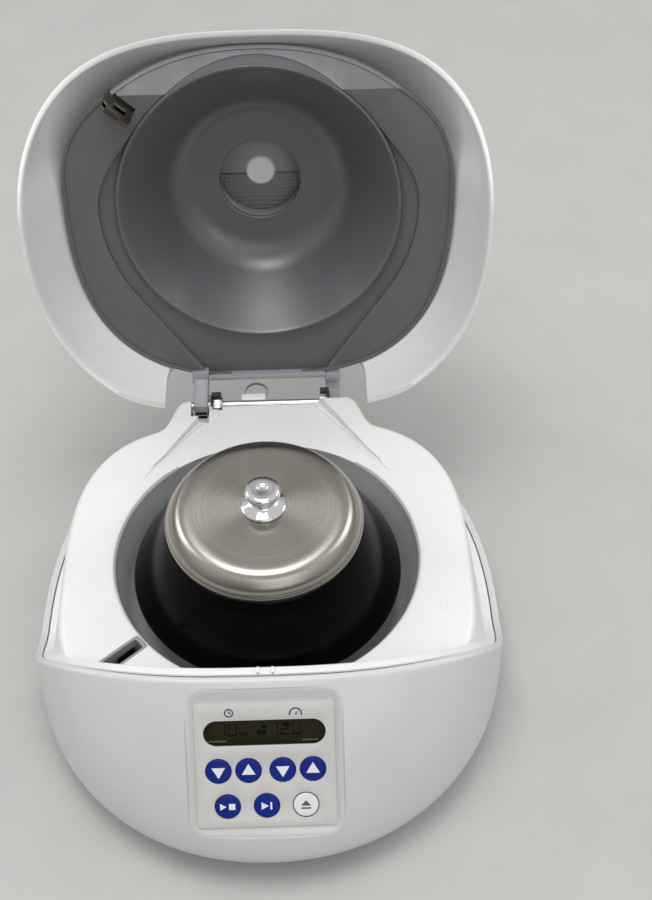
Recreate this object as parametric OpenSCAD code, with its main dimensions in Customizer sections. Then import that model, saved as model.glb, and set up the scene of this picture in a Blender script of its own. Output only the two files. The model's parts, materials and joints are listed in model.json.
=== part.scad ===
// Compact bench microcentrifuge with a hinged domed lid and a 12-place fixed-angle rotor.
// Frame: origin on the bench under the rotor axis, +X right, +Y to the back, +Z up.
// The lid is drawn shut and then swung open about its hinge, which is how it rests.

/* [Case] */
// Width of the case
case_w = 226; // [222:1:230]
// Reach of the case in front of the rotor axis
case_front = 133; // [130:1:136]
// Reach of the case behind the rotor axis
case_back = 108; // [107:0.5:109]
// Height of the shut case above the bench
case_h = 130; // [129:0.5:134]
// Wall thickness of the moulded shells
wall = 3; // [2.5:0.1:3.2]
// Height of the rubber feet
foot_h = 6; // [5:0.5:7]

/* [Deck] */
// Height of the flat deck around the chamber
deck_z = 68; // [67:0.5:69]
// Radius of the chamber opening in the deck
opening_r = 73; // [72:0.5:73.5]
// Height of the front rim where lid and housing meet
front_rim_z = 89.3; // [88:0.1:91]
// Height of the rim at the sides
side_rim_z = 26.5; // [25:0.5:28]

/* [Lid] */
// Opening angle of the lid at rest
open_angle = 108; // [95:1:110]
// Distance of the hinge line behind the rotor axis
hinge_y = 107; // [106.5:0.1:107.5]
// Height of the hinge line
hinge_z = 59; // [58:0.5:60]
// Radius of the funnel's rim
funnel_r = 70; // [69:0.5:70.5]

/* [Rotor] */
// Number of tube places
places = 12; // [12]
// Radius of a tube bore
tube_r = 5.6; // [5.4:0.05:5.7]
// Length of a tube bore along its axis
tube_len = 36; // [34:0.5:36]
// Tilt of the tube bores from the rotor axis
tube_angle = 45; // [45]
// Largest radius of the rotor
rotor_r = 64.5; // [64:0.1:65]

/* [Control panel] */
// Width of the keypad overlay
panel_w = 61.4; // [60:0.2:62]
// Height of the keypad overlay
panel_h = 57.5; // [57:0.5:58.5]
// Tilt of the panel from the horizontal
panel_tilt = 52; // [51:0.5:53]
// Radius of a key
key_r = 5.6; // [5.4:0.1:5.8]
// Travel of a key
key_travel = 0.5; // [0.3:0.1:0.6]

/* [Hidden] */
$fn = 72;

segments = 72;
plan_yc = -13;
half_w = case_w / 2;
bulge_z = 20;
floor_z = foot_h - 0.5;
plate_t = 2.5;
lid_apex_y = 5;
lid_m = 2.2;

// ---------- curves shared by the shells ----------
function sgn(v) = v < 0 ? -1 : 1;
function sup(c, n) = sgn(c) * pow(abs(c), 2 / n);
function clamp01(u) = min(1, max(0, u));
function smooth(u) = let (v = clamp01(u)) v * v * (3 - 2 * v);
// a plan outline that is a superellipse, with its own reach and fullness front and back
function plan(a, hw, yf, yb, nf, nb) =
  let (front = sin(a) < 0, n = front ? nf : nb)
  [hw * sup(cos(a), n),
   plan_yc + (front ? plan_yc - yf : yb - plan_yc) * sup(sin(a), n)];
function flat3(p, z) = [p[0], p[1], z];
// height of the parting line over the plan: high in front, low at the sides and back
rear_rise = 10.5;
rim_step_y = -9.5;
rim_front_y = -83.3;
function rim_z(y) = side_rim_z
  + (front_rim_z - side_rim_z) * smooth((rim_step_y - y) / (rim_step_y - rim_front_y + 5.5))
  + rear_rise * smooth((y - 5) / (case_back - 9));
function rim_xy(a, inset) =
  plan(a, half_w - inset, rim_front_y + inset, case_back - inset, 2.75, 2.5);
function rim_pt(a, inset, dz) =
  flat3(rim_xy(a, inset), rim_z(rim_xy(a, 0)[1]) + dz);
function frontness(a) = clamp01((rim_z(rim_xy(a, 0)[1]) - side_rim_z - rear_rise)
  / (front_rim_z - side_rim_z - rear_rise));

// ---------- lofts ----------
function angles() = [for (i = [0:segments - 1]) 360 * i / segments];
function flatten(l) = [for (a = l) for (b = a) b];
// triangles between ring j and ring k, each of segments points
function band(j, k) = [for (i = [0:segments - 1]) let (n = (i + 1) % segments)
  each [[j * segments + i, k * segments + i, k * segments + n],
        [j * segments + i, k * segments + n, j * segments + n]]];
// a closed loop of rings, as in a hollow skirt
module ring_loop(rings) {
  count = len(rings);
  polyhedron(points = flatten(rings),
    faces = flatten([for (j = [0:count - 1]) band(j, (j + 1) % count)]));
}
// a chain of rings closed by one apex at each end, as in a thin dome
module dome_skin(rings, first_apex, last_apex) {
  count = len(rings);
  top = count * segments;
  polyhedron(points = concat(flatten(rings), [first_apex, last_apex]),
    faces = concat(flatten([for (j = [0:count - 2]) band(j, j + 1)]),
      [for (i = [0:segments - 1]) [top, i, (i + 1) % segments]],
      [for (i = [0:segments - 1])
        [top + 1, (count - 1) * segments + (i + 1) % segments, (count - 1) * segments + i]]));
}

// ---------- small helpers ----------
module at_lid() {
  translate([0, hinge_y, hinge_z]) rotate([-open_angle, 0, 0])
    translate([0, -hinge_y, -hinge_z]) children();
}
module panel_frame() {
  translate([panel_x, panel_y, panel_z]) rotate([panel_tilt, 0, 0]) children();
}
module latch_frame() { translate([latch_x, latch_y, 0]) rotate([0, 0, latch_turn]) children(); }
module rounded_rect(w, h, r) {
  for (s = [-1, 1]) translate([s * (w / 2 - r), 0]) square([2 * r, h - 2 * r], center = true);
  square([w - 2 * r, h], center = true);
  for (s = [-1, 1], t = [-1, 1]) translate([s * (w / 2 - r), t * (h / 2 - r)]) circle(r);
}
module slab(w, h, r, z0, z1) { translate([0, 0, z0]) linear_extrude(z1 - z0) rounded_rect(w, h, r); }
module stadium(w, h) {
  square([w - h, h], center = true);
  for (s = [-1, 1]) translate([s * (w - h) / 2, 0]) circle(h / 2);
}
module along_x(x0, x1) { translate([x0, 0, 0]) rotate([90, 0, 90]) linear_extrude(x1 - x0) children(); }
module tube(ro, ri, z0, z1) {
  translate([0, 0, z0]) difference() {
    cylinder(r = ro, h = z1 - z0);
    translate([0, 0, -1]) cylinder(r = ri, h = z1 - z0 + 2);
  }
}
module rod(r, z0, z1) { translate([0, 0, z0]) cylinder(r = r, h = z1 - z0); }

// ---------- places ----------
panel_x = -1.2;
panel_y = -106;
panel_z = 56.6;
latch_x = -66.5;
latch_y = -55;
latch_turn = 40;
slot_len = 25;
slot_w = 8.4;
foot_x = 68;
foot_y = 62;
inlet_x = -28;
switch_x = 30;
rear_z = 21.5;
pocket_y = 102;
neck_half = 50;
neck_foot_z = 34.8;
neck_y = 104;
arm_in = 32.5;
arm_out = 40;
arm_mid = (arm_in + arm_out) / 2;
rod_r = 2.5;
rod_end = 42;
key_row_z = -2.4;
low_row_z = -18.9;
arrow_x = [-20.7, -7.5, 7.5, 20.7];
low_x = [-17.2, 0, 17.2];
lcd_row_z = 14.9;
shaft_r = 4;
rotor_base_z = 59.5;
rotor_top_z = 93;
rotor_rim_r = 46.5;
dish_r = 44;
mouth_r = 32;
mouth_z = 80;
steel_rim_z = 95.5;
steel_top_z = 105.5;

// ---------- lower housing ----------
bulge_drop = 15;
bulge_in = 16;
function bulge_xy(a, inset) =
  plan(a, half_w - inset, -case_front + inset, case_back - inset, 2.1, 2.5);
function housing_ring(v, inset, dz) = [for (a = angles())
  let (b = bulge_xy(a, inset), c = rim_pt(a, inset, dz), k = pow(v, 1.5))
  [b[0] + (c[0] - b[0]) * k, b[1] + (c[1] - b[1]) * k, bulge_z + (c[2] - bulge_z) * v]];
function belly_ring(u, inset) = [for (a = angles())
  flat3(bulge_xy(a, inset + bulge_in * (1 - sin(u))), bulge_z - bulge_drop * cos(u))];
function flange_ring(inset, z) = [for (a = angles()) flat3(bulge_xy(a, bulge_in + inset), z)];
housing_top_gap = 0.6;
module panel_pocket() {
  panel_frame() {
    slab(panel_w + 4, panel_h + 3.4, 5, 0, 30);
    slab(panel_w - 5, panel_h - 5, 3, -12, 1);
  }
}
module lower_housing() {
  color([0.86, 0.87, 0.87]) difference() {
    union() {
      ring_loop(concat(
        [for (u = [15, 40, 65]) belly_ring(u, 0)],
        [for (v = [0, 0.12, 0.26, 0.42, 0.6, 0.8, 1]) housing_ring(v, 0, -housing_top_gap)],
        [for (v = [1, 0.75, 0.5, 0.25, 0]) housing_ring(v, wall, -housing_top_gap)],
        [belly_ring(53, wall), flange_ring(4, 11), flange_ring(14, 11), flange_ring(14, 8.05),
         flange_ring(3.2, 8.05), belly_ring(15, wall)]));
      panel_seat();
      rear_seat();
    }
    panel_pocket();
    rear_pocket();
    for (p = screw_spots) translate([p[0], p[1], 0]) rod(1.6, 0, 20);
    for (x = [-1, 1], y = [-1, 1]) translate([x * foot_x, y * foot_y, 0]) rod(1.7, 0, 20);
    translate([-neck_half - 0.5, 88, neck_foot_z - 0.4]) cube([2 * neck_half + 1, 30, 10]);
  }
}
// the housing's outer form as one solid, which keeps the seats inside it
module housing_form() {
  dome_skin(concat([for (u = [15, 40, 65]) belly_ring(u, 0.2)],
      [for (v = [0, 0.26, 0.6, 1]) housing_ring(v, 0.2, -housing_top_gap)]),
    [0, plan_yc, bulge_z - bulge_drop], [0, plan_yc, 50]);
}
// flat plate that backs the pocket of the control panel
module panel_seat() {
  intersection() {
    panel_frame() slab(panel_w + 9, panel_h + 8, 6, -3, 2.5);
    housing_form();
  }
}
// the sockets at the back sit on a flat wall inside a shallow pocket
module rear_seat() {
  intersection() {
    translate([-49, pocket_y - wall, 8]) cube([98, wall + 0.5, 25]);
    housing_form();
  }
}
module rear_pocket() {
  rear_frame(0) slab(92, 22, 3, 0, 20);
  rear_frame(inlet_x) slab(26.8, 18.8, 2, -10, 1);
  rear_frame(switch_x) slab(20.4, 14.4, 1, -10, 1);
}

// ---------- top cover ----------
function deck_xy(a, inset) = plan(a, 97 - inset, rim_front_y + 8.5 + inset, 88 - inset, 3.8, 3.3);
// +1 where the cover climbs from the rim to the deck, -1 where it drops behind the front rim
function climb(a) = max(-1, min(1, (deck_z - rim_z(rim_xy(a, 0)[1])) / 20));
ledge_in = 8;
cover_t = 2.5;
lip_in = wall + 0.4;
function inner_ring(z) = [for (a = angles())
  let (p = deck_xy(a, 0), l = norm(p)) [p[0] / l * (opening_r - 8), p[1] / l * (opening_r - 8), z]];
ramp_y0 = 50;
ramp_drop = 6;
ramp_half0 = 62;
ramp_half1 = 27;
module ramp_outline(grow) {
  polygon([[-ramp_half0 - grow, ramp_y0], [ramp_half0 + grow, ramp_y0],
    [ramp_half1 + grow, neck_y + 1], [-ramp_half1 - grow, neck_y + 1]]);
}
ramp_tilt = atan(ramp_drop / (neck_y - ramp_y0));
module ramp_slab(z0, z1) {
  translate([-80, ramp_y0, deck_z]) rotate([-ramp_tilt, 0, 0])
    translate([0, -1, z0]) cube([160, 60, z1 - z0]);
}
module neck_outline(inset) {
  r = 14;
  translate([-neck_half + inset, 70]) square([2 * (neck_half - inset), neck_y - r - 70]);
  translate([-neck_half + r, 70]) square([2 * (neck_half - r), neck_y - inset - 70]);
  for (s = [-1, 1]) translate([s * (neck_half - r), neck_y - r]) circle(r - inset);
}
module top_cover() {
  color([0.95, 0.95, 0.94]) difference() {
    union() {
      ring_loop([
        [for (a = angles()) rim_pt(a, lip_in, -1)],
        [for (a = angles()) rim_pt(a, ledge_in, -1)],
        [for (a = angles()) flat3(deck_xy(a, 0), deck_z)],
        inner_ring(deck_z),
        inner_ring(deck_z - cover_t),
        [for (a = angles()) flat3(deck_xy(a, cover_t * climb(a)), deck_z - cover_t)],
        [for (a = angles()) rim_pt(a, ledge_in + cover_t * climb(a), -1 - cover_t)],
        [for (a = angles()) rim_pt(a, lip_in, -1 - cover_t)]]);
      difference() {
        translate([0, 0, neck_foot_z]) linear_extrude(deck_z - neck_foot_z) neck_outline(0);
        translate([0, 0, 30]) linear_extrude(deck_z - cover_t - 30) neck_outline(cover_t);
        translate([-60, 60, 30]) cube([120, 22, deck_z]);
      }
      for (s = [-1, 1]) translate([s * arm_mid - 6.5, 89, 44]) cube([13, 13, deck_z - 44]);
      intersection() {
        translate([0, 0, 40]) linear_extrude(40) ramp_outline(2);
        ramp_slab(-2.5, 0);
        translate([-80, 0, 0]) cube([160, neck_y, 100]);
      }
      for (x = [-3.2, 3.2]) translate([x - 0.6, rim_front_y + 3.8, front_rim_z - 2])
        cube([1.2, 4.6, 1.8]);
    }
    translate([0, 0, 40]) cylinder(r = opening_r, h = 60, $fn = 120);
    intersection() {
      translate([0, 0, 40]) linear_extrude(40) ramp_outline(0);
      ramp_slab(0, 12);
    }
    for (s = [-1, 1]) translate([s * arm_mid - 4.6, 91.5, 46]) cube([9.2, 20, 30]);
    latch_frame() slab(slot_len, slot_w, 1.5, 50, 80);
    for (s = [-1, 1]) translate([s * 24.5 - 2, neck_y - 1.2, hinge_z - 4.8]) cube([4, 3, 9.6]);
  }
}

// ---------- chamber ----------
chamber_floor_z = 32;
module chamber_bowl() {
  color([0.78, 0.79, 0.8]) difference() {
    rotate_extrude($fn = 120) polygon([[14, chamber_floor_z], [60, chamber_floor_z], [66, 34.5],
      [69, 41], [72.2, 63], [76.5, 63], [76.5, 64.5], [70.8, 64.5], [67.5, 41.5], [65.2, 36],
      [59.5, 33.6], [16, 33.6], [16, 37], [14, 37]]);
    translate([0, -150 - 74.2, 30]) cube([300, 300, 80], center = true);
    translate([-100, 56, 61.5]) cube([200, 60, 10]);
  }
}
module chamber_gasket() {
  color([0.2, 0.2, 0.2]) intersection() {
    tube(76, 73.2, 64.5, deck_z - cover_t);
    translate([-100, -74.2, 50]) cube([200, 124, 30]);
  }
}

// ---------- bottom ----------
module plan_shape(inset) {
  polygon([for (a = angles()) bulge_xy(a, bulge_in + inset)]);
}
screw_spots = [for (a = [0, 63, 117, 180, 232, 308]) bulge_xy(a, bulge_in + 9)];
module base_plate() {
  color([0.3, 0.31, 0.32]) difference() {
    translate([0, 0, floor_z]) linear_extrude(plate_t) plan_shape(wall + 0.6);
    for (x = [-1, 1], y = [-1, 1]) translate([x * foot_x, y * foot_y, 0]) rod(1.7, 0, 20);
    for (p = screw_spots) translate([p[0], p[1], 0]) rod(1.7, 0, 20);
    for (i = [-4:4]) translate([i * 9, -96, 0]) linear_extrude(20) stadium(4, 3.4);
    for (i = [-4:4]) translate([i * 9 - 2, 66, 0]) cube([4, 16, 20]);
  }
}
module rubber_feet() {
  color([0.08, 0.08, 0.08]) for (x = [-1, 1], y = [-1, 1]) translate([x * foot_x, y * foot_y, 0])
    rotate_extrude() polygon([[3.4, 0], [9, 0], [10, 1], [9, floor_z], [1.9, floor_z], [1.9, 3],
      [3.4, 3]]);
}
module screw(head_r, r, z0, z1, head_h) { rod(head_r, z0, z0 + head_h); rod(r, z0, z1); }
module foot_screws() {
  color([0.7, 0.7, 0.72]) for (x = [-1, 1], y = [-1, 1]) translate([x * foot_x, y * foot_y, 0])
    screw(3, 1.6, 1.2, 9.6, 1.8);
}
module base_screws() {
  color([0.7, 0.7, 0.72]) for (p = screw_spots) translate([p[0], p[1], 0])
    screw(3, 1.6, floor_z - 1.6, 10.6, 1.6);
}

// ---------- motor ----------
module motor_stator() {
  color([0.55, 0.56, 0.58]) rotate_extrude() polygon([[5.6, 9], [38, 9], [38, 11.5], [30, 11.5],
    [30, 27.5], [12, 27.5], [12, 30.5], [9.6, 30.5], [9.6, 25], [28, 25], [28, 12], [9.6, 12],
    [5.6, 12]]);
}
module motor_mounts() {
  color([0.1, 0.1, 0.1]) for (a = [30, 150, 270]) rotate([0, 0, a]) translate([34.5, 0, 0])
    tube(4, 1.5, 11.5, chamber_floor_z);
}
module motor_bearings() {
  color([0.75, 0.76, 0.78]) {
    tube(9.6, shaft_r + 0.05, 25.4, 30.5);
    tube(9.6, shaft_r + 0.05, 12, 16);
  }
}
module motor_bell() { color([0.35, 0.35, 0.37]) tube(26, shaft_r, 17, 24); }
module motor_shaft() {
  color([0.8, 0.8, 0.82]) rotate_extrude() polygon([[0, 11], [shaft_r, 11], [shaft_r, 86],
    [3, 87], [0, 87]]);
}

// ---------- rotor ----------
module rotor_body() {
  color([0.03, 0.03, 0.035]) difference() {
    rotate_extrude($fn = 120) polygon([[shaft_r, 40], [14, 40], [14, 46], [44, 46], [58, 50],
      [rotor_r - 0.8, rotor_base_z - 3], [rotor_r, rotor_base_z - 1.5],
      [rotor_r - 0.6, rotor_base_z + 0.5],
      [rotor_rim_r, rotor_top_z], [rotor_rim_r - 0.6, rotor_top_z + 0.6],
      [dish_r, rotor_top_z + 0.6], [20, 68], [11, 68], [11, 80], [shaft_r, 80]]);
    for (i = [0:places - 1]) rotate([0, 0, 360 * (i + 0.5) / places])
      translate([mouth_r, 0, mouth_z]) rotate([0, 180 - tube_angle, 0])
        translate([0, 0, -12]) cylinder(r = tube_r, h = tube_len + 12);
  }
}
module rotor_nut() {
  color([0.75, 0.76, 0.78]) difference() {
    union() {
      rod(9, 80, 81.4);
      translate([0, 0, 81.4]) cylinder(r = 7.5, h = 4.6, $fn = 6);
    }
    rod(shaft_r, 70, 100);
  }
}
module rotor_lid() {
  color([0.8, 0.79, 0.76]) rotate_extrude($fn = 120) polygon([[3.1, steel_top_z - 1.2],
    [37, steel_top_z - 1.2], [40.4, steel_top_z - 2.4], [43.4, steel_top_z - 6],
    [44.6, steel_rim_z - 0.4], [44.6, steel_rim_z - 0.9], [46, steel_rim_z - 0.9],
    [46.3, steel_rim_z - 0.2], [45.8, steel_rim_z + 0.6], [45.4, steel_rim_z + 1.6],
    [44.5, steel_top_z - 5.4], [41.2, steel_top_z - 1.6], [37.4, steel_top_z],
    [3.1, steel_top_z]]);
}
module rotor_lid_seal() {
  color([0.05, 0.05, 0.05]) tube(46, 44.4, rotor_top_z + 0.6, steel_rim_z - 0.9);
}
module lid_knob() {
  color([0.92, 0.92, 0.93]) rotate_extrude() polygon([[3, steel_top_z + 0.1],
    [10.2, steel_top_z + 0.1], [10.6, steel_top_z + 1], [9.6, steel_top_z + 2.2],
    [6, steel_top_z + 3.2], [5.2, steel_top_z + 5], [5.6, steel_top_z + 6.8],
    [8, steel_top_z + 7.8], [8.4, steel_top_z + 9.4], [7.9, steel_top_z + 11],
    [6.4, steel_top_z + 12], [2.4, steel_top_z + 12.2], [2, steel_top_z + 11.6],
    [0, steel_top_z + 11.4], [0, steel_top_z + 8], [3, steel_top_z + 8]]);
}
module knob_stud() {
  color([0.7, 0.7, 0.72]) {
    rod(3, 90, steel_top_z + 8);
    rod(5, 101.5, steel_top_z - 1.3);
  }
}

// ---------- control panel ----------
module keypad_overlay() {
  color([0.83, 0.83, 0.8]) panel_frame() difference() {
    slab(panel_w, panel_h, 2, 0, 1);
    translate([0, lcd_row_z, -1]) linear_extrude(4) stadium(53.4, 11.6);
    for (x = arrow_x) translate([x, key_row_z, 0]) rod(key_r + 0.25, -1, 3);
    for (x = low_x) translate([x, low_row_z, 0]) rod(key_r + 0.25, -1, 3);
  }
}
module lcd_window() {
  color([0.3, 0.32, 0.25, 0.4]) panel_frame() translate([0, lcd_row_z, 0.2])
    linear_extrude(0.7) stadium(53.2, 11.4);
}
module lcd_module() {
  color([0.35, 0.35, 0.22]) panel_frame() translate([0, lcd_row_z, -3.2]) difference() {
    translate([-27, -7, 0]) cube([54, 14, 3]);
    translate([-24, -5, 2.4]) cube([48, 9, 2]);
  }
}
module key(x, y) {
  panel_frame() translate([x, y, 0]) {
    rod(key_r, -1.3, 1.3);
    rod(key_r + 0.8, -1.3, -0.4);
  }
}
blue = [0.08, 0.17, 0.55];
module key_time_down() { color(blue) key(arrow_x[0], key_row_z); }
module key_time_up() { color(blue) key(arrow_x[1], key_row_z); }
module key_speed_down() { color(blue) key(arrow_x[2], key_row_z); }
module key_speed_up() { color(blue) key(arrow_x[3], key_row_z); }
module key_start_stop() { color(blue) key(low_x[0], low_row_z); }
module key_short() { color(blue) key(low_x[1], low_row_z); }
module key_open() { color([0.95, 0.95, 0.95]) key(low_x[2], low_row_z); }
switch_top = -1.3 - key_travel - 0.1;
module key_switches() {
  color([0.15, 0.15, 0.15]) panel_frame() {
    for (x = arrow_x) translate([x, key_row_z, 0]) tact_switch();
    for (x = low_x) translate([x, low_row_z, 0]) tact_switch();
  }
}
module tact_switch() {
  translate([-3, -3, -4.6]) cube([6, 6, 1.9]);
  rod(1.7, -2.7, switch_top);
}
module keypad_board() {
  color([0.1, 0.35, 0.2]) panel_frame() difference() {
    slab(panel_w - 7, panel_h - 7, 2, -6.2, -4.6);
    for (x = [-1, 1], y = [-1, 1]) translate([x * 24, y * 22, 0]) rod(1.2, -8, -3);
  }
}

// ---------- electronics ----------
module control_board() {
  color([0.1, 0.35, 0.2]) difference() {
    translate([-46, -112, 11]) cube([92, 34, 1.6]);
    for (x = [-40, 40]) translate([x, -95, 0]) rod(1.6, 5, 20);
  }
}
module board_components() {
  color([0.15, 0.15, 0.17]) {
    for (x = [-30, -16]) translate([x, -98, 0]) rod(5, 12.6, 26);
    translate([0, -104, 12.6]) cube([14, 14, 2.4]);
    translate([22, -106, 12.6]) cube([10, 22, 9]);
  }
}
module power_transformer() {
  color([0.3, 0.3, 0.33]) translate([60, -6, floor_z + plate_t + 0.02]) {
    translate([-9.5, -24, 0]) cube([19, 48, 5]);
    translate([-9.5, -24, 13]) cube([19, 48, 4]);
    translate([-11, -14, 5]) cube([22, 28, 8]);
    for (y = [-24, 18]) translate([-9.5, y, 5]) cube([19, 6, 8]);
  }
}
module rear_frame(x) { translate([x, pocket_y, rear_z]) rotate([-90, 0, 0]) children(); }
module mains_inlet() {
  color([0.06, 0.06, 0.06]) rear_frame(inlet_x) difference() {
    union() {
      slab(26.4, 18.4, 1.6, -20, 1);
      slab(31, 21, 3, 0.02, 2);
    }
    slab(23.6, 15.6, 3, -15, 3);
  }
}
module inlet_pins() {
  color([0.8, 0.7, 0.4]) rear_frame(inlet_x)
    for (p = [[-7, 2], [0, -2], [7, 2]]) translate([p[0] - 1, p[1] - 2, -15]) cube([2, 4, 12]);
}
module switch_frame() {
  color([0.06, 0.06, 0.06]) rear_frame(switch_x) difference() {
    union() {
      slab(20, 14, 1, -16, 1);
      slab(24, 18, 2, 0.02, 1.8);
    }
    slab(17, 11, 1, -11, 3);
  }
}
rocker_pivot = -3;
module power_rocker() {
  color([0.1, 0.1, 0.1]) rear_frame(switch_x) difference() {
    translate([0, 0, rocker_pivot]) rotate([90, 0, 0]) linear_extrude(10.4, center = true)
      polygon([[-7, 4.7], [0, 3.6], [6.7, 6.2], [7.4, 2], [4, -3], [-4, -3], [-7.4, 0]]);
    translate([0, 0, rocker_pivot]) rotate([90, 0, 0]) cylinder(r = 1, h = 20, center = true);
  }
}

// ---------- latch ----------
latch_pivot_x = -9;
latch_pivot_z = 46;
latch_swing = 26;
plunger_z = 26;
lever_t = 1.8;
module latch_bezel() {
  color([0.32, 0.33, 0.34]) latch_frame() difference() {
    union() {
      slab(slot_len - 0.3, slot_w - 0.3, 1.3, deck_z - 3, deck_z);
      slab(slot_len + 2, slot_w + 2, 2, deck_z - cover_t - 1.6, deck_z - cover_t - 0.02);
    }
    slab(slot_len - 4, slot_w - 2.6, 0.8, deck_z - 8, deck_z + 2);
    translate([9.4, -10, 50]) cube([10, 20, deck_z - cover_t + 0.02 - 50]);
  }
}
module at_latch_pivot() {
  latch_frame() translate([latch_pivot_x, 0, latch_pivot_z]) rotate([90, 0, 0]) children();
}
// two cheeks that hang from the underside of the deck beside the slot
module latch_bracket() {
  color([0.6, 0.6, 0.62]) difference() {
    latch_frame() for (s = [-1, 1]) {
      translate([-15, s * 6.4 - 0.8, 41]) cube([12, 1.6, deck_z - cover_t - 41.02]);
      translate([-15, s * 8.4 - 2.8, deck_z - cover_t - 1.6]) cube([12, 5.6, 1.58]);
    }
    at_latch_pivot() cylinder(r = 1.5, h = 30, center = true);
  }
}
module latch_pin() {
  color([0.75, 0.75, 0.77]) at_latch_pivot() cylinder(r = 1.5, h = 16, center = true);
}
// the hook at rest is swung back out of the striker's way
module latch_lever() {
  color([0.65, 0.66, 0.68]) at_latch_pivot() rotate([0, 0, latch_swing]) difference() {
    union() {
      linear_extrude(lever_t, center = true) polygon([[8.6, 8.3], [8, 10.6], [1.6, 11.6],
        [-3.2, 6.4], [-3.4, -2.4], [-7.3, -20.9], [-4.95, -21.4], [-0.7, -3], [3.2, -2.2],
        [3.4, 5.6], [4.6, 8.1]]);
      cylinder(r = 3.2, h = 10.4, center = true);
    }
    cylinder(r = 1.55, h = 15, center = true);
  }
}
module latch_solenoid() {
  color([0.25, 0.26, 0.3]) latch_frame() difference() {
    union() {
      translate([0, -6, 20]) cube([20, 12, 12]);
      for (y = [-6, 4.5]) translate([2, y, floor_z + plate_t + 0.02]) cube([16, 1.5, 13]);
    }
    translate([-10, 0, plunger_z]) rotate([0, 90, 0]) cylinder(r = 2.2, h = 40);
  }
}
module solenoid_plunger() {
  color([0.8, 0.8, 0.82]) latch_frame() translate([-3.4, 0, plunger_z]) rotate([0, 90, 0])
    cylinder(r = 2.15, h = 21.4);
}
module lid_switch() {
  color([0.1, 0.1, 0.1]) latch_frame() {
    translate([-1, -9, 44]) cube([12, 5, 9]);
    translate([2, -7.5, 53]) cube([4, 2, 2]);
  }
}

// ---------- hinge ----------
module hinge_brackets() {
  color([0.12, 0.12, 0.13]) for (s = [-1, 1]) difference() {
    translate([s * 28.2 - 2, neck_y + 0.02, hinge_z - 7]) cube([4, 7.4, 11]);
    translate([-50, hinge_y, hinge_z]) rotate([0, 90, 0]) cylinder(r = rod_r, h = 100);
  }
}
module hinge_rod() {
  color([0.85, 0.85, 0.87]) translate([-rod_end, hinge_y, hinge_z]) rotate([0, 90, 0])
    cylinder(r = rod_r, h = 2 * rod_end);
}
module hinge_nuts() {
  color([0.8, 0.8, 0.82]) for (s = [-1, 1]) translate([s * 24.5, hinge_y, hinge_z])
    rotate([0, 90, 0]) difference() {
      cylinder(r = 4.4, h = 3.2, center = true, $fn = 6);
      cylinder(r = rod_r, h = 10, center = true);
    }
}
// rubber pads in the neck that the tails of the open lid's arms rest on
module lid_stop_pads() {
  color([0.04, 0.04, 0.04]) for (s = [-1, 1]) translate([s * arm_mid - 3, 91.5, 46])
    cube([6, 6, 4.4]);
}
// bumper behind the neck that keeps the open lid's edge off a wall
module rear_spacer() {
  color([0.93, 0.93, 0.92]) {
    translate([spacer_x, neck_y, 50]) rotate([-90, 0, 0]) slab(11, 8, 2, 0.02, 8);
    translate([spacer_x, neck_y + 11, 0]) slab(11, 8, 2, 46, 58);
  }
}
spacer_x = -8.5;
module spacer_pad() {
  color([0.35, 0.36, 0.37]) translate([spacer_x, neck_y + 11, 0]) tube(3.4, 1.6, 58, 59);
}

// ---------- lid ----------
function lid_k(a) = 2 - frontness(a);
function lid_ring(w, inset) = [for (a = angles())
  let (c = rim_pt(a, inset, 0), top = case_h - inset)
  [c[0] * w, lid_apex_y + (c[1] - lid_apex_y) * w,
   c[2] + (top - c[2]) * pow(max(0, 1 - pow(w, lid_m)), 1 / lid_k(a))]];
lid_steps = [for (i = [0:11]) cos(90 * i / 12)];
module lid_notch() {
  translate([0, 150, 0]) rotate([90, 0, 0]) linear_extrude(72) {
    translate([-52.5, 0]) square([105, 62]);
    translate([-22.5, 0]) square([45, 92]);
    for (s = [-1, 1]) {
      translate([s * 22.5, 62]) circle(30);
      polygon([[s * 52, 30], [s * 52, 45], [s * 75, 37], [s * 75, 30]]);
    }
  }
}
module lid_shell() {
  color([0.95, 0.95, 0.94]) at_lid() difference() {
    dome_skin(concat([for (i = [11:-1:0]) lid_ring(lid_steps[i], wall)],
        [for (i = [0:11]) lid_ring(lid_steps[i], 0)]),
      [0, lid_apex_y, case_h - wall], [0, lid_apex_y, case_h]);
    lid_notch();
    rod(8.2, 110, 140);
  }
}
liner_z = 71;
liner_t = 3;
facet_y = -58;
facet_end_y = -75;
module liner_outline(inset) {
  polygon([for (a = angles()) plan(a, 97.2 - inset, facet_end_y + inset, 95.4 - inset, 2.2, 2.45)]);
}
funnel_out = funnel_r + 3;
module lid_liner() {
  color([0.42, 0.43, 0.45]) at_lid() {
    difference() {
      union() {
        intersection() {
          translate([0, 0, 50]) linear_extrude(60) liner_outline(0);
          along_x(-100, 100) polygon([[110, liner_z], [facet_y, liner_z], [facet_end_y - 1, 92.2],
            [facet_end_y - 1, 95.2], [facet_y + 1.2, liner_z + liner_t], [110, liner_z + liner_t]]);
        }
        for (s = [-1, 1]) hinge_arm(s);
      }
      rod(funnel_out + 0.2, 60, 110);
      latch_frame() translate([striker_x, 0, 0]) slab(striker_w + 0.8, 5.8, 1, 60, 90);
    }
  }
}
module hinge_arm(s) {
  x0 = s > 0 ? arm_in : -arm_out;
  difference() {
    along_x(x0, x0 + arm_out - arm_in) {
      translate([hinge_y, hinge_z]) circle(5.2);
      polygon([[84, liner_z], [91, liner_z], [101.9, hinge_z], [109, hinge_z - 4.8],
        [114, hinge_z - 7.6], [116.4, hinge_z - 4.4], [112, 64], [108, 70],
        [96, liner_z + 6], [84, liner_z + 6]]);
    }
    translate([-50, hinge_y, hinge_z]) rotate([0, 90, 0]) cylinder(r = rod_r + 0.05, h = 100);
  }
}
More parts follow.
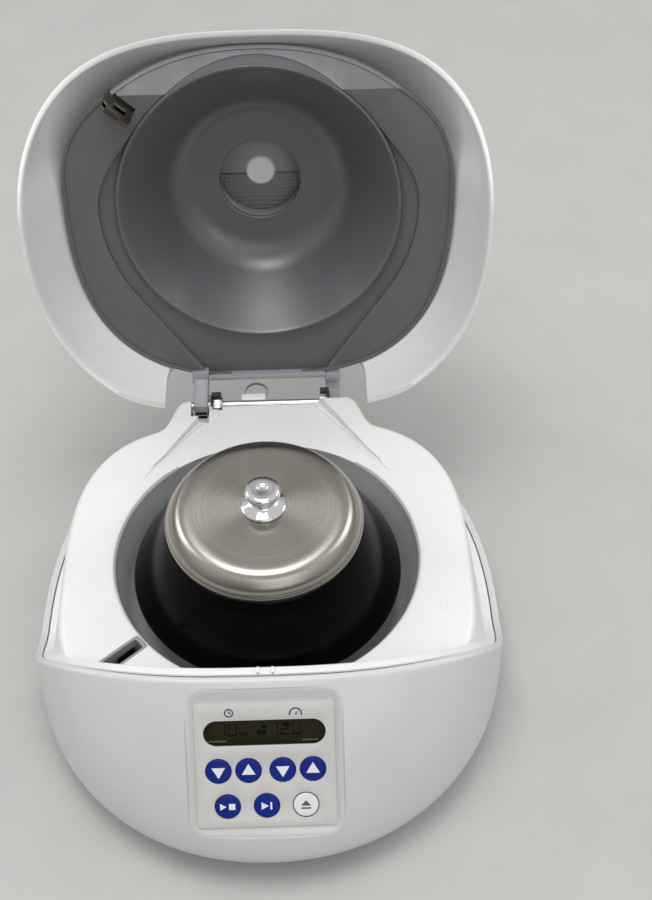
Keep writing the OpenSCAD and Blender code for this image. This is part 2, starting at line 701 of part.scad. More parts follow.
funnel_z = 69.7;
bowl_floor_z = 108.5;
module lid_funnel() {
  color([0.3, 0.31, 0.33]) at_lid() difference() {
    rotate_extrude($fn = 120) polygon([[funnel_r, funnel_z], [funnel_out, funnel_z],
      [funnel_out, liner_z + 6], [funnel_out - 3.4, liner_z + 6], [48.6, 104],
      [45.6, 108.4], [41.5, 110.5], [21, 110.5], [21, bowl_floor_z], [40.8, bowl_floor_z],
      [44, 106.6], [46.6, 102.8]]);
  }
}
module sight_glass() {
  color([0.95, 0.96, 0.97, 0.6]) at_lid() rotate_extrude() polygon([[0, 121], [7.4, 121],
    [8, 122], [8, case_h - 0.4], [0, case_h - 0.1]]);
}
module lid_rib_plate() {
  color([0.28, 0.29, 0.3]) at_lid() difference() {
    union() {
      rod(22.4, 122.6, 123.8);
      for (i = [-5:5]) translate([i * 4 - 0.5, -18.6, 121.6]) cube([1, 37.2, 1.5]);
      for (i = [-4:4]) translate([-18.6, i * 4 - 0.5, 121.6]) cube([37.2, 1, 1.5]);
    }
    rod(8.3, 110, 140);
    translate([-40, -46, 119]) cube([80, 48, 3.59]);
  }
}
striker_low = 52;
striker_w = 15.6;
striker_x = 1.5;
striker_top = liner_z + liner_t + 1.6;
// a bent loop whose foot lies behind the liner
module lid_striker() {
  color([0.45, 0.4, 0.35]) at_lid() latch_frame() difference() {
    union() {
      for (s = [-1, 1]) translate([striker_x - striker_w / 2, s * 1.8 - 0.6, striker_low])
        cube([striker_w, 1.2, striker_top - striker_low]);
      translate([striker_x - striker_w / 2, -2.4, striker_low]) cube([striker_w, 4.8, 1.6]);
      translate([2.3, -4, liner_z + liner_t + 0.02]) cube([9.7, 8, 1.58]);
    }
    translate([-1, -5, 56]) cube([6.6, 10, 7]);
    translate([-10, -5, striker_low - 1]) cube([5.8, 10, 4]);
  }
}
module striker_screws() {
  color([0.7, 0.7, 0.72]) at_lid() latch_frame() for (y = [-2.4, 2.4])
    translate([10.6, y, 0]) rod(1.1, striker_top + 0.02, striker_top + 1.4);
}
// screws that hold the liner from behind, through the bosses of the shell
module liner_screws() {
  color([0.7, 0.7, 0.72]) at_lid() for (x = [-1, 1]) {
    translate([x * 84, 30, 0]) rod(2.6, liner_z + liner_t + 0.02, liner_z + 9);
    translate([x * 84, -20, 0]) rod(2.6, liner_z + liner_t + 0.02, liner_z + 9);
  }
}

lower_housing();
top_cover();
chamber_bowl();
chamber_gasket();
base_plate();
rubber_feet();
foot_screws();
base_screws();
motor_stator();
motor_mounts();
motor_bearings();
control_board();
board_components();
power_transformer();
mains_inlet();
inlet_pins();
switch_frame();
keypad_overlay();
lcd_window();
lcd_module();
keypad_board();
key_switches();
latch_bezel();
latch_bracket();
latch_pin();
latch_solenoid();
lid_switch();
hinge_brackets();
hinge_rod();
hinge_nuts();
lid_stop_pads();
rear_spacer();
spacer_pad();
rotor_body();
rotor_nut();
motor_shaft();
motor_bell();
rotor_lid();
rotor_lid_seal();
lid_knob();
knob_stud();
key_time_down();
key_time_up();
key_speed_down();
key_speed_up();
key_start_stop();
key_short();
key_open();
latch_lever();
solenoid_plunger();
power_rocker();
lid_shell();
lid_liner();
lid_funnel();
sight_glass();
lid_striker();
striker_screws();
lid_rib_plate();
liner_screws();
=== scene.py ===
# Looks for the compact bench microcentrifuge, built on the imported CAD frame. Sizes are in mm.
import json
import math

import bmesh
import bpy
import numpy as np
from mathutils import Matrix, Vector
from mathutils.bvhtree import BVHTree


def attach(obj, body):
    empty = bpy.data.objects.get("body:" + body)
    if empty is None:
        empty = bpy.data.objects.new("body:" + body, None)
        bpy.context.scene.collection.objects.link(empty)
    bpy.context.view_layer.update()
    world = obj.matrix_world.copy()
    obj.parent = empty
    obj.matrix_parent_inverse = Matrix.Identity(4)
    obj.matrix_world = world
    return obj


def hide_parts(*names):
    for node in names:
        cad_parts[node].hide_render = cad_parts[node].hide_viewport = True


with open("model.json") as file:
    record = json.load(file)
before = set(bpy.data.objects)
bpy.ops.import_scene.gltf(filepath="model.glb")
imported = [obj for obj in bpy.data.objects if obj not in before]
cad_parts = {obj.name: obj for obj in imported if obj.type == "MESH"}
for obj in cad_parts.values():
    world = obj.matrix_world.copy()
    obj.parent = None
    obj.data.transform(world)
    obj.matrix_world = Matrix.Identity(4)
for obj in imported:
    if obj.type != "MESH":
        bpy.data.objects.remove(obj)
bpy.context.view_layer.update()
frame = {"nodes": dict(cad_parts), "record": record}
MM = 0.001
COLLECTION = bpy.context.scene.collection

# sizes that several pieces share
HALF_W, WAIST = 113, -13
RIM_FRONT, RIM_BACK, BELLY_FRONT = -83.3, 108, -133
RIM_FRONT_POWER, RIM_BACK_POWER, BELLY_POWER = 2.75, 2.5, 2.1
WALL = 3
DECK_Z, OPENING_R = 68, 73
LID_TOP, LID_APEX_Y = 130, 5.0
HINGE, OPEN_ANGLE = (0, 107, 59), 108
SEAT_W, SEAT_H = 62.8, 58.8
LCD_Y = 14.9
UPRIGHT = Matrix.Rotation(math.radians(90), 4, "X")


# ---------- curves shared by the shells ----------
def sup(c, n):
    """A cosine or sine of a superellipse with the exponent n."""
    return np.sign(c) * np.abs(c) ** (2 / n)


def smooth(u):
    v = np.clip(u, 0, 1)
    return v * v * (3 - 2 * v)


def plan(a, hw, yf, yb, nf, nb):
    """An outline from yf to yb, widest at the waist, with exponents nf in front and nb behind."""
    s, c = np.sin(a), np.cos(a)
    n = np.where(s < 0, nf, nb)
    reach = np.where(s < 0, WAIST - yf, yb - WAIST)
    return np.stack([hw * sup(c, n), WAIST + reach * sup(s, n)], 1)


def rim_z(y):
    """Height of the joint between the lid and the case, high in front and lowest at the waist."""
    return 26.5 + 62.8 * smooth((-9.5 - y) / 79.3) + 10.5 * smooth((y - 5) / 99)


def rim_xy(a, inset):
    front, back = RIM_FRONT + inset, RIM_BACK - inset
    return plan(a, HALF_W - inset, front, back, RIM_FRONT_POWER, RIM_BACK_POWER)


def with_z(p, z):
    return np.column_stack([p, np.broadcast_to(z, len(p))])


def rim_pt(a, inset, dz):
    return with_z(rim_xy(a, inset), rim_z(rim_xy(a, 0)[:, 1]) + dz)


def even_angles(count, curve):
    """Parameters that space points evenly along a closed curve."""
    a = np.linspace(0, 2 * math.pi, 40001)
    p = curve(a)
    s = np.concatenate([[0], np.cumsum(np.linalg.norm(np.diff(p, axis=0), axis=1))])
    return np.interp(np.linspace(0, s[-1], count, endpoint=False), s, a)


def bend(p0, p1, p2, steps):
    """Rings that round the corner p1 between p0 and p2."""
    return [
        (1 - t) ** 2 * p0 + 2 * t * (1 - t) * p1 + t * t * p2
        for t in np.linspace(0, 1, steps)
    ]


# ---------- mesh helpers ----------
def shade(mesh, angle):
    bm = bmesh.new()
    bm.from_mesh(mesh)
    bmesh.ops.remove_doubles(bm, verts=bm.verts, dist=1e-6)
    bmesh.ops.recalc_face_normals(bm, faces=bm.faces)
    limit = math.radians(angle)
    for f in bm.faces:
        f.smooth = True
    for e in bm.edges:
        if len(e.link_faces) == 2:
            e.smooth = e.calc_face_angle(0) < limit
    bm.to_mesh(mesh)
    bm.free()


def place(ob, mat, body, at=None, stands_for=(), angle=35):
    """Finishes a piece: its shading, material, place and body."""
    shade(ob.data, angle)
    ob.data.materials.clear()
    ob.data.materials.append(mat)
    if at is not None:
        ob.matrix_world = at
    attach(ob, body)
    if stands_for:
        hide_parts(*stands_for)
    return ob


def link(name, mesh):
    ob = bpy.data.objects.new(name, mesh)
    COLLECTION.objects.link(ob)
    return ob


def mesh_object(name, verts, faces):
    mesh = bpy.data.meshes.new(name)
    mesh.from_pydata((np.asarray(verts, float) * MM).tolist(), [], faces)
    mesh.update()
    return link(name, mesh)


def from_bmesh(name, bm):
    mesh = bpy.data.meshes.new(name)
    bm.to_mesh(mesh)
    bm.free()
    return link(name, mesh)


def loft(name, rings, closed=False, start=None, end=None):
    """Joins rings of equally many points; start and end are the apexes that close it."""
    n, k = len(rings[0]), len(rings)
    verts = np.concatenate(rings)
    idx = np.arange(n)
    nxt = (idx + 1) % n
    faces = []
    for j in range(k if closed else k - 1):
        a, b = j * n, ((j + 1) % k) * n
        faces += np.column_stack([a + idx, a + nxt, b + nxt, b + idx]).tolist()
    extra = []
    for apex, ring in ((start, 0), (end, k - 1)):
        if apex is not None:
            top = len(verts) + len(extra)
            extra.append(apex)
            faces += [[ring * n + i, ring * n + (i + 1) % n, top] for i in range(n)]
    if extra:
        verts = np.concatenate([verts, np.array(extra, float)])
    return mesh_object(name, verts, faces)


def rounded(points, radii, steps=4):
    """An open profile whose corners are rounded by the given radii."""
    pts = [np.array(p, float) for p in points]
    out = [pts[0]]
    for i in range(1, len(pts) - 1):
        r = radii[i] if isinstance(radii, (list, tuple)) else radii
        a, b, c = pts[i - 1], pts[i], pts[i + 1]
        la, lc = np.linalg.norm(a - b), np.linalg.norm(c - b)
        if r <= 0:
            out.append(b)
            continue
        p0, p2 = b + (a - b) / la * min(r, la * 0.48), b + (c - b) / lc * min(r, lc * 0.48)
        out += bend(p0, b, p2, steps)
    out.append(pts[-1])
    return out


def lathe(name, profile, segments=160, closed=False):
    """Turns a profile of (radius, height) about Z. A radius of 0 at an end closes it."""
    prof = [np.array(p, float) for p in profile]
    start = (0, 0, prof[0][1]) if prof[0][0] < 1e-6 else None
    end = (0, 0, prof[-1][1]) if prof[-1][0] < 1e-6 else None
    body = prof[1 if start else 0 : len(prof) - (1 if end else 0)]
    a = np.linspace(0, 2 * math.pi, segments, endpoint=False)
    rings = [
        np.column_stack([r * np.cos(a), r * np.sin(a), np.full(segments, z)]) for r, z in body
    ]
    return loft(name, rings, closed, start, end)


def round_rect(w, h, r, n=8):
    pts = []
    for cx, cy, a0 in ((1, 1, 0), (-1, 1, 90), (-1, -1, 180), (1, -1, 270)):
        for i in range(n + 1):
            a = math.radians(a0 + 90 * i / n)
            x, y = cx * (w / 2 - r) + r * math.cos(a), cy * (h / 2 - r) + r * math.sin(a)
            pts.append((x, y))
    return pts


def circle(r, cx=0, cy=0, n=48):
    return [
        (cx + r * math.cos(2 * math.pi * i / n), cy + r * math.sin(2 * math.pi * i / n))
        for i in range(n)
    ]


def plate(name, loops, z0, z1, edge=0.0, warp=None, cuts=()):
    """A flat shape with holes, between z0 and z1, with its edges rounded by edge."""
    bm = bmesh.new()
    for points in loops:
        vs = [bm.verts.new((x, y, z0)) for x, y in points]
        for i in range(len(vs)):
            bm.edges.new((vs[i], vs[(i + 1) % len(vs)]))
    bmesh.ops.triangle_fill(bm, use_beauty=True, use_dissolve=False, edges=bm.edges[:])
    base = bm.faces[:]
    out = bmesh.ops.extrude_face_region(bm, geom=base, use_keep_orig=True)
    top = [v for v in out["geom"] if isinstance(v, bmesh.types.BMVert)]
    bmesh.ops.translate(bm, verts=top, vec=(0, 0, z1 - z0))
    bmesh.ops.recalc_face_normals(bm, faces=bm.faces)
    if edge:
        rim = [
            e
            for e in bm.edges
            if len(e.link_faces) == 2
            and abs(e.verts[0].co.z - e.verts[1].co.z) < 1e-6
            and e.calc_face_angle(0) > 1.0
        ]
        bmesh.ops.bevel(bm, geom=rim, offset=edge, segments=2, profile=0.5, affect="EDGES")
    for y in cuts:
        whole = bm.verts[:] + bm.edges[:] + bm.faces[:]
        bmesh.ops.bisect_plane(bm, geom=whole, plane_co=(0, y, 0), plane_no=(0, 1, 0))
    if warp:
        for v in bm.verts:
            v.co = warp(v.co)
    bmesh.ops.scale(bm, vec=(MM, MM, MM), verts=bm.verts)
    return from_bmesh(name, bm)


def block(name, lo, hi, edge=0.5):
    """A box with rounded edges between two corners."""
    bm = bmesh.new()
    bmesh.ops.create_cube(bm, size=1)
    for v in bm.verts:
        v.co = Vector(lo[i] + (v.co[i] + 0.5) * (hi[i] - lo[i]) for i in range(3))
    bmesh.ops.bevel(bm, geom=bm.edges[:], offset=edge, segments=2, profile=0.5, affect="EDGES")
    bmesh.ops.scale(bm, vec=(MM, MM, MM), verts=bm.verts)
    return from_bmesh(name, bm)


def along_x(name, outline, x0, x1, edge=0.4):
    """A (y, z) outline drawn out along X."""
    ob = plate(name, [outline], x0, x1, edge)
    ob.data.transform(Matrix(((0, 0, 1, 0), (1, 0, 0, 0), (0, 1, 0, 0), (0, 0, 0, 1))))
    return ob


def join(name, obs):
    """Several pieces made into one mesh."""
    bm = bmesh.new()
    for ob in obs:
        mesh = ob.data.copy()
        mesh.transform(ob.matrix_world)
        bm.from_mesh(mesh)
        bpy.data.objects.remove(ob)
    return from_bmesh(name, bm)


def carve(ob, cutter):
    """Cuts one mesh with another and keeps the result."""
    bpy.context.view_layer.update()
    for o in (ob, cutter):
        bm = bmesh.new()
        bm.from_mesh(o.data)
        bmesh.ops.recalc_face_normals(bm, faces=bm.faces)
        bm.to_mesh(o.data)
        bm.free()
    mod = ob.modifiers.new("cut", "BOOLEAN")
    mod.operation, mod.object, mod.solver = "DIFFERENCE", cutter, "EXACT"
    bpy.context.view_layer.update()
    graph = bpy.context.evaluated_depsgraph_get()
    mesh = bpy.data.meshes.new_from_object(ob.evaluated_get(graph))
    ob.modifiers.clear()
    ob.data = mesh
    bpy.data.objects.remove(cutter)
    return ob


def moved(ob, x, y):
    ob.data.transform(Matrix.Translation((x * MM, y * MM, 0)))
    return ob


# ---------- frames ----------
def turned_at(location, degrees, axis):
    return Matrix.Translation(location) @ Matrix.Rotation(math.radians(degrees), 4, axis)


AT_HINGE = Vector(HINGE) * MM
AT_LID = turned_at(AT_HINGE, -OPEN_ANGLE, "X") @ Matrix.Translation(-AT_HINGE)
AT_PANEL = turned_at((-0.0012, -0.106, 0.0566), 52, "X")
AT_LATCH = turned_at((-0.0665, -0.055, 0), 40, "Z")
AT_REAR = turned_at((0, 0.102, 0.0215), -90, "X")


# ---------- materials ----------
def material(name, color, rough, metal=0.0, coat=0.0, spec=0.5):
    mat = bpy.data.materials.new(name)
    mat.use_nodes = True
    nodes, links = mat.node_tree.nodes, mat.node_tree.links
    bsdf = nodes["Principled BSDF"]
    bsdf.inputs["Metallic"].default_value = metal
    bsdf.inputs["Roughness"].default_value = rough
    bsdf.inputs["Base Color"].default_value = (*color, 1)
    bsdf.inputs["Coat Weight"].default_value = coat
    bsdf.inputs["Specular IOR Level"].default_value = spec
    mat.diffuse_color = (*color, 1)
    return mat, nodes, links, bsdf


def noise(nodes, links, scale, detail=3.0, rough=0.55, vector=None):
    tex = nodes.new("ShaderNodeTexNoise")
    tex.inputs["Scale"].default_value = scale
    tex.inputs["Detail"].default_value = detail
    tex.inputs["Roughness"].default_value = rough
    if vector is None:
        vector = nodes.new("ShaderNodeTexCoord").outputs["Object"]
    links.new(vector, tex.inputs["Vector"])
    return tex


def tint(nodes, links, bsdf, source, low, high, at=(0.3, 0.7)):
    """Colours the surface between two tones by a texture."""
    ramp = nodes.new("ShaderNodeValToRGB")
    ramp.color_ramp.elements[0].color, ramp.color_ramp.elements[1].color = (*low, 1), (*high, 1)
    ramp.color_ramp.elements[0].position, ramp.color_ramp.elements[1].position = at
    links.new(source, ramp.inputs["Fac"])
    links.new(ramp.outputs["Color"], bsdf.inputs["Base Color"])


def tones(color, vary):
    """The two tones that a colour drifts between."""
    c = np.array(color)
    return tuple(c * (1 - vary)), tuple(np.minimum(c * (1 + vary), 1))


def vary_rough(nodes, links, bsdf, source, low, high):
    m = nodes.new("ShaderNodeMapRange")
    m.inputs["To Min"].default_value, m.inputs["To Max"].default_value = low, high
    m.inputs["From Min"].default_value, m.inputs["From Max"].default_value = 0.3, 0.7
    links.new(source, m.inputs["Value"])
    links.new(m.outputs["Result"], bsdf.inputs["Roughness"])


def bump(nodes, links, bsdf, source, strength, distance):
    b = nodes.new("ShaderNodeBump")
    b.inputs["Strength"].default_value = strength
    b.inputs["Distance"].default_value = distance
    links.new(source, b.inputs["Height"])
    links.new(b.outputs["Normal"], bsdf.inputs["Normal"])


def plastic(name, color, rough, grain=2200, depth=0.00002, vary=0.03, coat=0.0, spec=0.5):
    """Moulded plastic: faint tone drift, smudges in the gloss and a fine grain."""
    mat, nodes, links, bsdf = material(name, color, rough, coat=coat, spec=spec)
    drift = noise(nodes, links, 22, 4)
    tint(nodes, links, bsdf, drift.outputs["Fac"], *tones(color, vary))
    smudge = noise(nodes, links, 60, 5)
    vary_rough(nodes, links, bsdf, smudge.outputs["Fac"], rough * 0.82, min(rough * 1.2, 1))
    grain_tex = noise(nodes, links, grain, 2)
    bump(nodes, links, bsdf, grain_tex.outputs["Fac"], 0.35, depth)
    return mat


def turned(name, color, rough, pitch, vary, metal=1.0, aniso=0.0, spec=0.5):
    """Turned on a lathe about Z: fine rings in tone and relief."""
    mat, nodes, links, bsdf = material(name, color, rough, metal, spec=spec)
    coord = nodes.new("ShaderNodeTexCoord")
    flat = nodes.new("ShaderNodeVectorMath")
    flat.operation = "MULTIPLY"
    flat.inputs[1].default_value = (1, 1, 0)
    links.new(coord.outputs["Object"], flat.inputs[0])
    length = nodes.new("ShaderNodeVectorMath")
    length.operation = "LENGTH"
    links.new(flat.outputs["Vector"], length.inputs[0])
    sep = nodes.new("ShaderNodeSeparateXYZ")
    links.new(coord.outputs["Object"], sep.inputs[0])
    diag = nodes.new("ShaderNodeMath")
    diag.operation = "SUBTRACT"
    links.new(length.outputs["Value"], diag.inputs[0])
    links.new(sep.outputs["Z"], diag.inputs[1])
    ring = nodes.new("ShaderNodeCombineXYZ")
    links.new(diag.outputs["Value"], ring.inputs["X"])
    fine = noise(nodes, links, 1 / pitch, 4, 0.7, ring.outputs["Vector"])
    broad = noise(nodes, links, 0.12 / pitch, 3, 0.6, ring.outputs["Vector"])
    tint(nodes, links, bsdf, broad.outputs["Fac"], *tones(color, vary))
    vary_rough(nodes, links, bsdf, fine.outputs["Fac"], rough * 0.75, rough * 1.3)
    bump(nodes, links, bsdf, fine.outputs["Fac"], 0.5, 0.000008)
    if aniso:
        bsdf.inputs["Anisotropic"].default_value = aniso
        tangent = nodes.new("ShaderNodeTangent")
        tangent.direction_type, tangent.axis = "RADIAL", "Z"
        links.new(tangent.outputs["Tangent"], bsdf.inputs["Tangent"])
    return mat


def metal(name, color, rough, vary=0.08):
    """Plated or ground metal: patches in tone and gloss with fine scratches."""
    mat, nodes, links, bsdf = material(name, color, rough, 1.0)
    patch = noise(nodes, links, 180, 4)
    tint(nodes, links, bsdf, patch.outputs["Fac"], *tones(color, vary))
    vary_rough(nodes, links, bsdf, patch.outputs["Fac"], rough * 0.7, rough * 1.35)
    fine = noise(nodes, links, 900, 4)
    bump(nodes, links, bsdf, fine.outputs["Fac"], 0.3, 0.00001)
    return mat


def clear(name, color, rough, alpha, spec=0.5):
    """Clear plastic with a faint haze."""
    mat, nodes, links, bsdf = material(name, color, rough, spec=spec)
    bsdf.inputs["Alpha"].default_value = alpha
    bsdf.inputs["IOR"].default_value = 1.49
    haze = noise(nodes, links, 240, 3)
    vary_rough(nodes, links, bsdf, haze.outputs["Fac"], rough * 0.8, rough * 1.3)
    tint(nodes, links, bsdf, haze.outputs["Fac"], tuple(np.array(color) * 0.95), color)
    return mat


WHITE = plastic("white_shell", (0.80, 0.80, 0.79), 0.36, coat=0.15)
HOUSING = plastic("housing_grey", (0.62, 0.62, 0.62), 0.36, coat=0.15)
LINER = plastic("liner_grey", (0.122, 0.125, 0.132), 0.42, grain=3000, depth=0.00003, vary=0.05)
FUNNEL = plastic(
    "funnel_grey", (0.092, 0.095, 0.102), 0.34, grain=900, depth=0.000004, vary=0.05, spec=1.0
)
GRID = plastic("grid_grey", (0.26, 0.265, 0.27), 0.45)
ARM = plastic("arm_grey", (0.33, 0.345, 0.365), 0.4, vary=0.04)
BLACK = plastic("black_plastic", (0.012, 0.012, 0.013), 0.38, vary=0.1)
RUBBER = plastic("rubber", (0.014, 0.014, 0.015), 0.75, grain=1500, depth=0.00006, vary=0.15)
SLEEVE = plastic("slot_grey", (0.30, 0.30, 0.30), 0.4)
OVERLAY = plastic("overlay_film", (0.60, 0.595, 0.575), 0.42, grain=2600, depth=0.000015)
BLUE = plastic("key_blue", (0.003, 0.018, 0.22), 0.4, vary=0.08, spec=0.2)
KEYWHITE = plastic("key_white", (0.80, 0.81, 0.80), 0.35)
INKWHITE = plastic("ink_white", (0.82, 0.83, 0.83), 0.5)
INKBLUE = plastic("ink_blue", (0.008, 0.014, 0.09), 0.5)
INKDARK = plastic("ink_dark", (0.09, 0.092, 0.1), 0.5)
LCD = plastic("lcd_olive", (0.046, 0.041, 0.017), 0.5, vary=0.06, spec=0.15)
LCDINK = plastic("lcd_ink", (0.0015, 0.0015, 0.001), 0.6, spec=0.05)
LCDEDGE = plastic("lcd_edge", (0.30, 0.31, 0.16), 0.4)
ROTOR = turned("rotor_black", (0.0015, 0.0015, 0.002), 0.18, 0.0005, 0.3, metal=0.0, spec=0.07)
STEEL = turned("turned_steel", (0.40, 0.375, 0.33), 0.26, 0.0004, 0.08, aniso=0.85)
CHROME = metal("chrome", (0.72, 0.72, 0.73), 0.045, vary=0.03)
ROD = metal("ground_steel", (0.78, 0.78, 0.79), 0.2)
ZINC = metal("zinc", (0.52, 0.52, 0.54), 0.32)
BOWL = plastic("chamber_grey", (0.62, 0.625, 0.63), 0.4, vary=0.03)
BRONZE = metal("striker_bronze", (0.15, 0.13, 0.105), 0.26, vary=0.3)
BASE = plastic("base_black", (0.03, 0.03, 0.032), 0.5, grain=1400, depth=0.00005)
CORE = plastic("motor_grey", (0.13, 0.135, 0.14), 0.45)
BRASS = metal("brass", (0.65, 0.48, 0.2), 0.3)
BOARD = plastic("board_green", (0.012, 0.09, 0.035), 0.4)
# the sight glass is near-white and mostly opaque: painted brightness standing in for the light that
# shines through the window
GLASS_PAINTED_BRIGHT = clear("sight_clear", (0.97, 0.98, 0.98), 0.2, 0.8)
# the display's lens is tinted near black: a painted dark reflection laid over the display
LENS_PAINTED_DARK = clear("lcd_lens", (0.010, 0.010, 0.006), 0.16, 0.22, spec=0.1)
SLOTS = {
    "shell_white": WHITE, "housing_grey": HOUSING, "dark_grey": LINER, "arm_grey": ARM,
    "chamber_grey": BOWL, "rubber": RUBBER, "base_black": BASE, "zinc": ZINC, "motor_grey": CORE,
    "pcb_green": BOARD, "components": BLACK, "brass_pins": BRASS, "socket_black": BLACK,
    "overlay_grey": OVERLAY, "lcd_glass": LENS_PAINTED_DARK, "lcd_olive": LCD, "key_blue": BLUE,
    "key_white": KEYWHITE, "rotor_black": ROTOR, "lid_steel": STEEL, "chrome": CHROME,
    "striker_bronze": BRONZE, "sight_clear": GLASS_PAINTED_BRIGHT,
}
for sub in frame["record"]["subparts"]:
    node = frame["nodes"][sub["node"]]
    node.data.materials.clear()
    node.data.materials.append(SLOTS[sub["material_slot"]])

# ---------- lid shell ----------
A = even_angles(288, lambda a: rim_xy(a, 0))
FRONT = np.clip((rim_z(rim_xy(A, 0)[:, 1]) - 37) / 52.3, 0, 1)
APEX = np.array([0, LID_APEX_Y])


def lid_ring(w, inset):
    """A ring of the dome: the rim drawn in to the part w of its reach and raised to match."""
    c = rim_pt(A, inset, 0)
    xy = APEX + (c[:, :2] - APEX) * w
    rise = max(0.0, 1 - w**2.2) ** (1 / (2 - FRONT))
    return with_z(xy, c[:, 2] + (LID_TOP - inset - c[:, 2]) * rise)


steps = [0.993] + [math.cos(math.radians(t)) for t in np.linspace(9, 88.5, 40)]
outer = [lid_ring(w, 0) for w in steps]
inner = [lid_ring(w, WALL) for w in steps]
edge_out = bend(lid_ring(0.995, 0), rim_pt(A, 0, 0), rim_pt(A, 1.1, 0), 5)
edge_in = bend(rim_pt(A, 1.9, 0), rim_pt(A, WALL, 0), lid_ring(0.995, WALL), 5)
rings = inner[::-1] + edge_in[::-1] + edge_out[::-1] + outer
under_apex, apex = ((0, LID_APEX_Y, z) for z in (LID_TOP - WALL, LID_TOP))
lid = loft("lid_dome", rings, start=under_apex, end=apex)

# the arch over the case's neck, the corners beside it and the hole for the sight glass
notch = [(-52.5, -5), (52.5, -5), (52.5, 62)]
for cx, angles in ((22.5, np.linspace(4, 90, 20)), (-22.5, np.linspace(90, 180, 21))):
    for t in angles:
        notch.append((cx + 30 * math.cos(math.radians(t)), 62 + 30 * math.sin(math.radians(t))))
cutter = plate("notch", [notch], -150, -78)
cutter.data.transform(UPRIGHT)
carve(lid, cutter)
for s in (-1, 1):
    corner = [(s * 52, 30), (s * 52, 45), (s * 75, 37), (s * 75, 30)]
    chamfer = plate("chamfer", [corner], -150, -78)
    chamfer.data.transform(UPRIGHT)
    carve(lid, chamfer)
carve(lid, lathe("glass_hole", [(0, 105), (8.2, 105), (8.2, 140), (0, 140)], 64))
lid.data.transform(AT_LID)
place(lid, WHITE, "lid", None, ("lid_shell",), 40)

# ---------- lower housing ----------
def bulge_xy(a, inset):
    """The case's widest outline, 20 mm up, which carries the belly in front."""
    front, back = BELLY_FRONT + inset, RIM_BACK - inset
    return plan(a, HALF_W - inset, front, back, BELLY_POWER, RIM_BACK_POWER)


AH = even_angles(320, lambda a: rim_xy(a, 0) * 0.5 + bulge_xy(a, 0) * 0.5)


def belly(u, inset):
    """A ring of the turned-in underside, at u degrees round its quarter ellipse."""
    u = math.radians(u)
    return with_z(bulge_xy(AH, inset + 16 * (1 - math.sin(u))), 20 - 15 * math.cos(u))


SEAM = -0.6  # the housing stops this far under the rim


def wall_ring(v, inset):
    """A ring of the wall, from the widest outline (v = 0) up to the rim (v = 1)."""
    b, c = bulge_xy(AH, inset), rim_pt(AH, inset, SEAM)
    return np.column_stack([b + (c[:, :2] - b) * v**1.5, 20 + (c[:, 2] - 20) * v])


outside = [belly(u, 0) for u in np.linspace(12, 84, 9)]
outside += [wall_ring(v, 0) for v in np.linspace(0, 0.965, 34)]
lip_out = bend(wall_ring(0.985, 0), rim_pt(AH, 0, SEAM), rim_pt(AH, 1.1, SEAM), 5)
lip_in = bend(rim_pt(AH, 1.9, SEAM), rim_pt(AH, WALL, SEAM), wall_ring(0.985, WALL), 5)
inside = [wall_ring(v, WALL) for v in np.linspace(0.97, 0, 20)]
inside += [belly(u, WALL) for u in (66, 53, 30)]
foot_rings = [with_z(bulge_xy(AH, 19), 8.05), with_z(bulge_xy(AH, 15.4), 6.2), belly(12, 2.4)]
shell_rings = outside + lip_out + lip_in + inside + foot_rings
housing = loft("housing_shell", shell_rings, closed=True)
bm = bmesh.new()
bm.from_mesh(housing.data)
surface = BVHTree.FromBMesh(bm)
bm.free()


def pocket_line(grow):
    """The pocket's mouth: the seat's outline grown more above than at the sides and below."""
    half_w = SEAT_W / 2 + 2.2 + grow
    y0, y1 = -SEAT_H / 2 - 3.2 - grow, SEAT_H / 2 + 5.2 + grow
    pts = round_rect(2 * half_w, y1 - y0, 6.5 + grow, 14)
    return [(x, y + (y0 + y1) / 2) for x, y in pts]


pocket = plate("pocket", [pocket_line(1.0)], -14, 40)
pocket.data.transform(AT_PANEL)
carve(housing, pocket)
rear_cut = plate("rear_cut", [round_rect(92, 22, 3)], 0, 20)
rear_cut.data.transform(AT_REAR)
carve(housing, rear_cut)
carve(housing, block("neck_gap", (-50.5, 88, 34.4), (50.5, 118, 44.4), 0.01))
place(housing, HOUSING, "base", None, ("lower_housing",), 40)

# the moulded lip that runs from the housing's skin down to the panel's seat
normal = AT_PANEL.to_3x3() @ Vector((0, 0, 1))


def on_skin(points, drop):
    """Points of the panel's plane brought onto the housing's skin, and drop below it."""
    out = []
    for x, y in points:
        start = AT_PANEL @ Vector((x * MM, y * MM, 0.06))
        hit = surface.ray_cast(start, -normal)[0]
        h = (AT_PANEL.inverted() @ hit).z / MM
        out.append((x, y, h - drop))
    return np.array(out)


seat_line = [(x, y) for x, y in round_rect(SEAT_W, SEAT_H, 2.8, 14)]
skin, corner = on_skin(pocket_line(1.05), 0.0), on_skin(pocket_line(0), -0.05)
foot = np.array([(x, y, 0.0) for x, y in seat_line])
foot[:, 2] = np.minimum(0, corner[:, 2] - 0.3)
wall = foot - corner
reach = np.maximum(np.linalg.norm(wall, axis=1, keepdims=True), 0.01)
down = corner + wall / reach * np.minimum(1.4, reach * 0.45)
near_foot = corner + wall * (1 - np.minimum(1.0, reach * 0.3) / reach)
floor_in = foot * [0.975, 0.975, 1]
under_film = foot * [0.86, 0.86, 1] - [0, 0, 0.1]
lip_rings = bend(skin, corner, down, 6) + bend(near_foot, foot, floor_in, 4) + [under_film]
lip = loft("panel_lip", lip_rings)
place(lip, HOUSING, "base", AT_PANEL, (), 50)
rear_plate = plate("rear_plate", [round_rect(96, 25, 3)], -2.8, 0.0, 0.1)
place(rear_plate, HOUSING, "base", AT_REAR, ())

# ---------- top cover ----------
T = np.linspace(0, 2 * math.pi, 360, endpoint=False)
CT, ST = np.cos(T), np.sin(T)


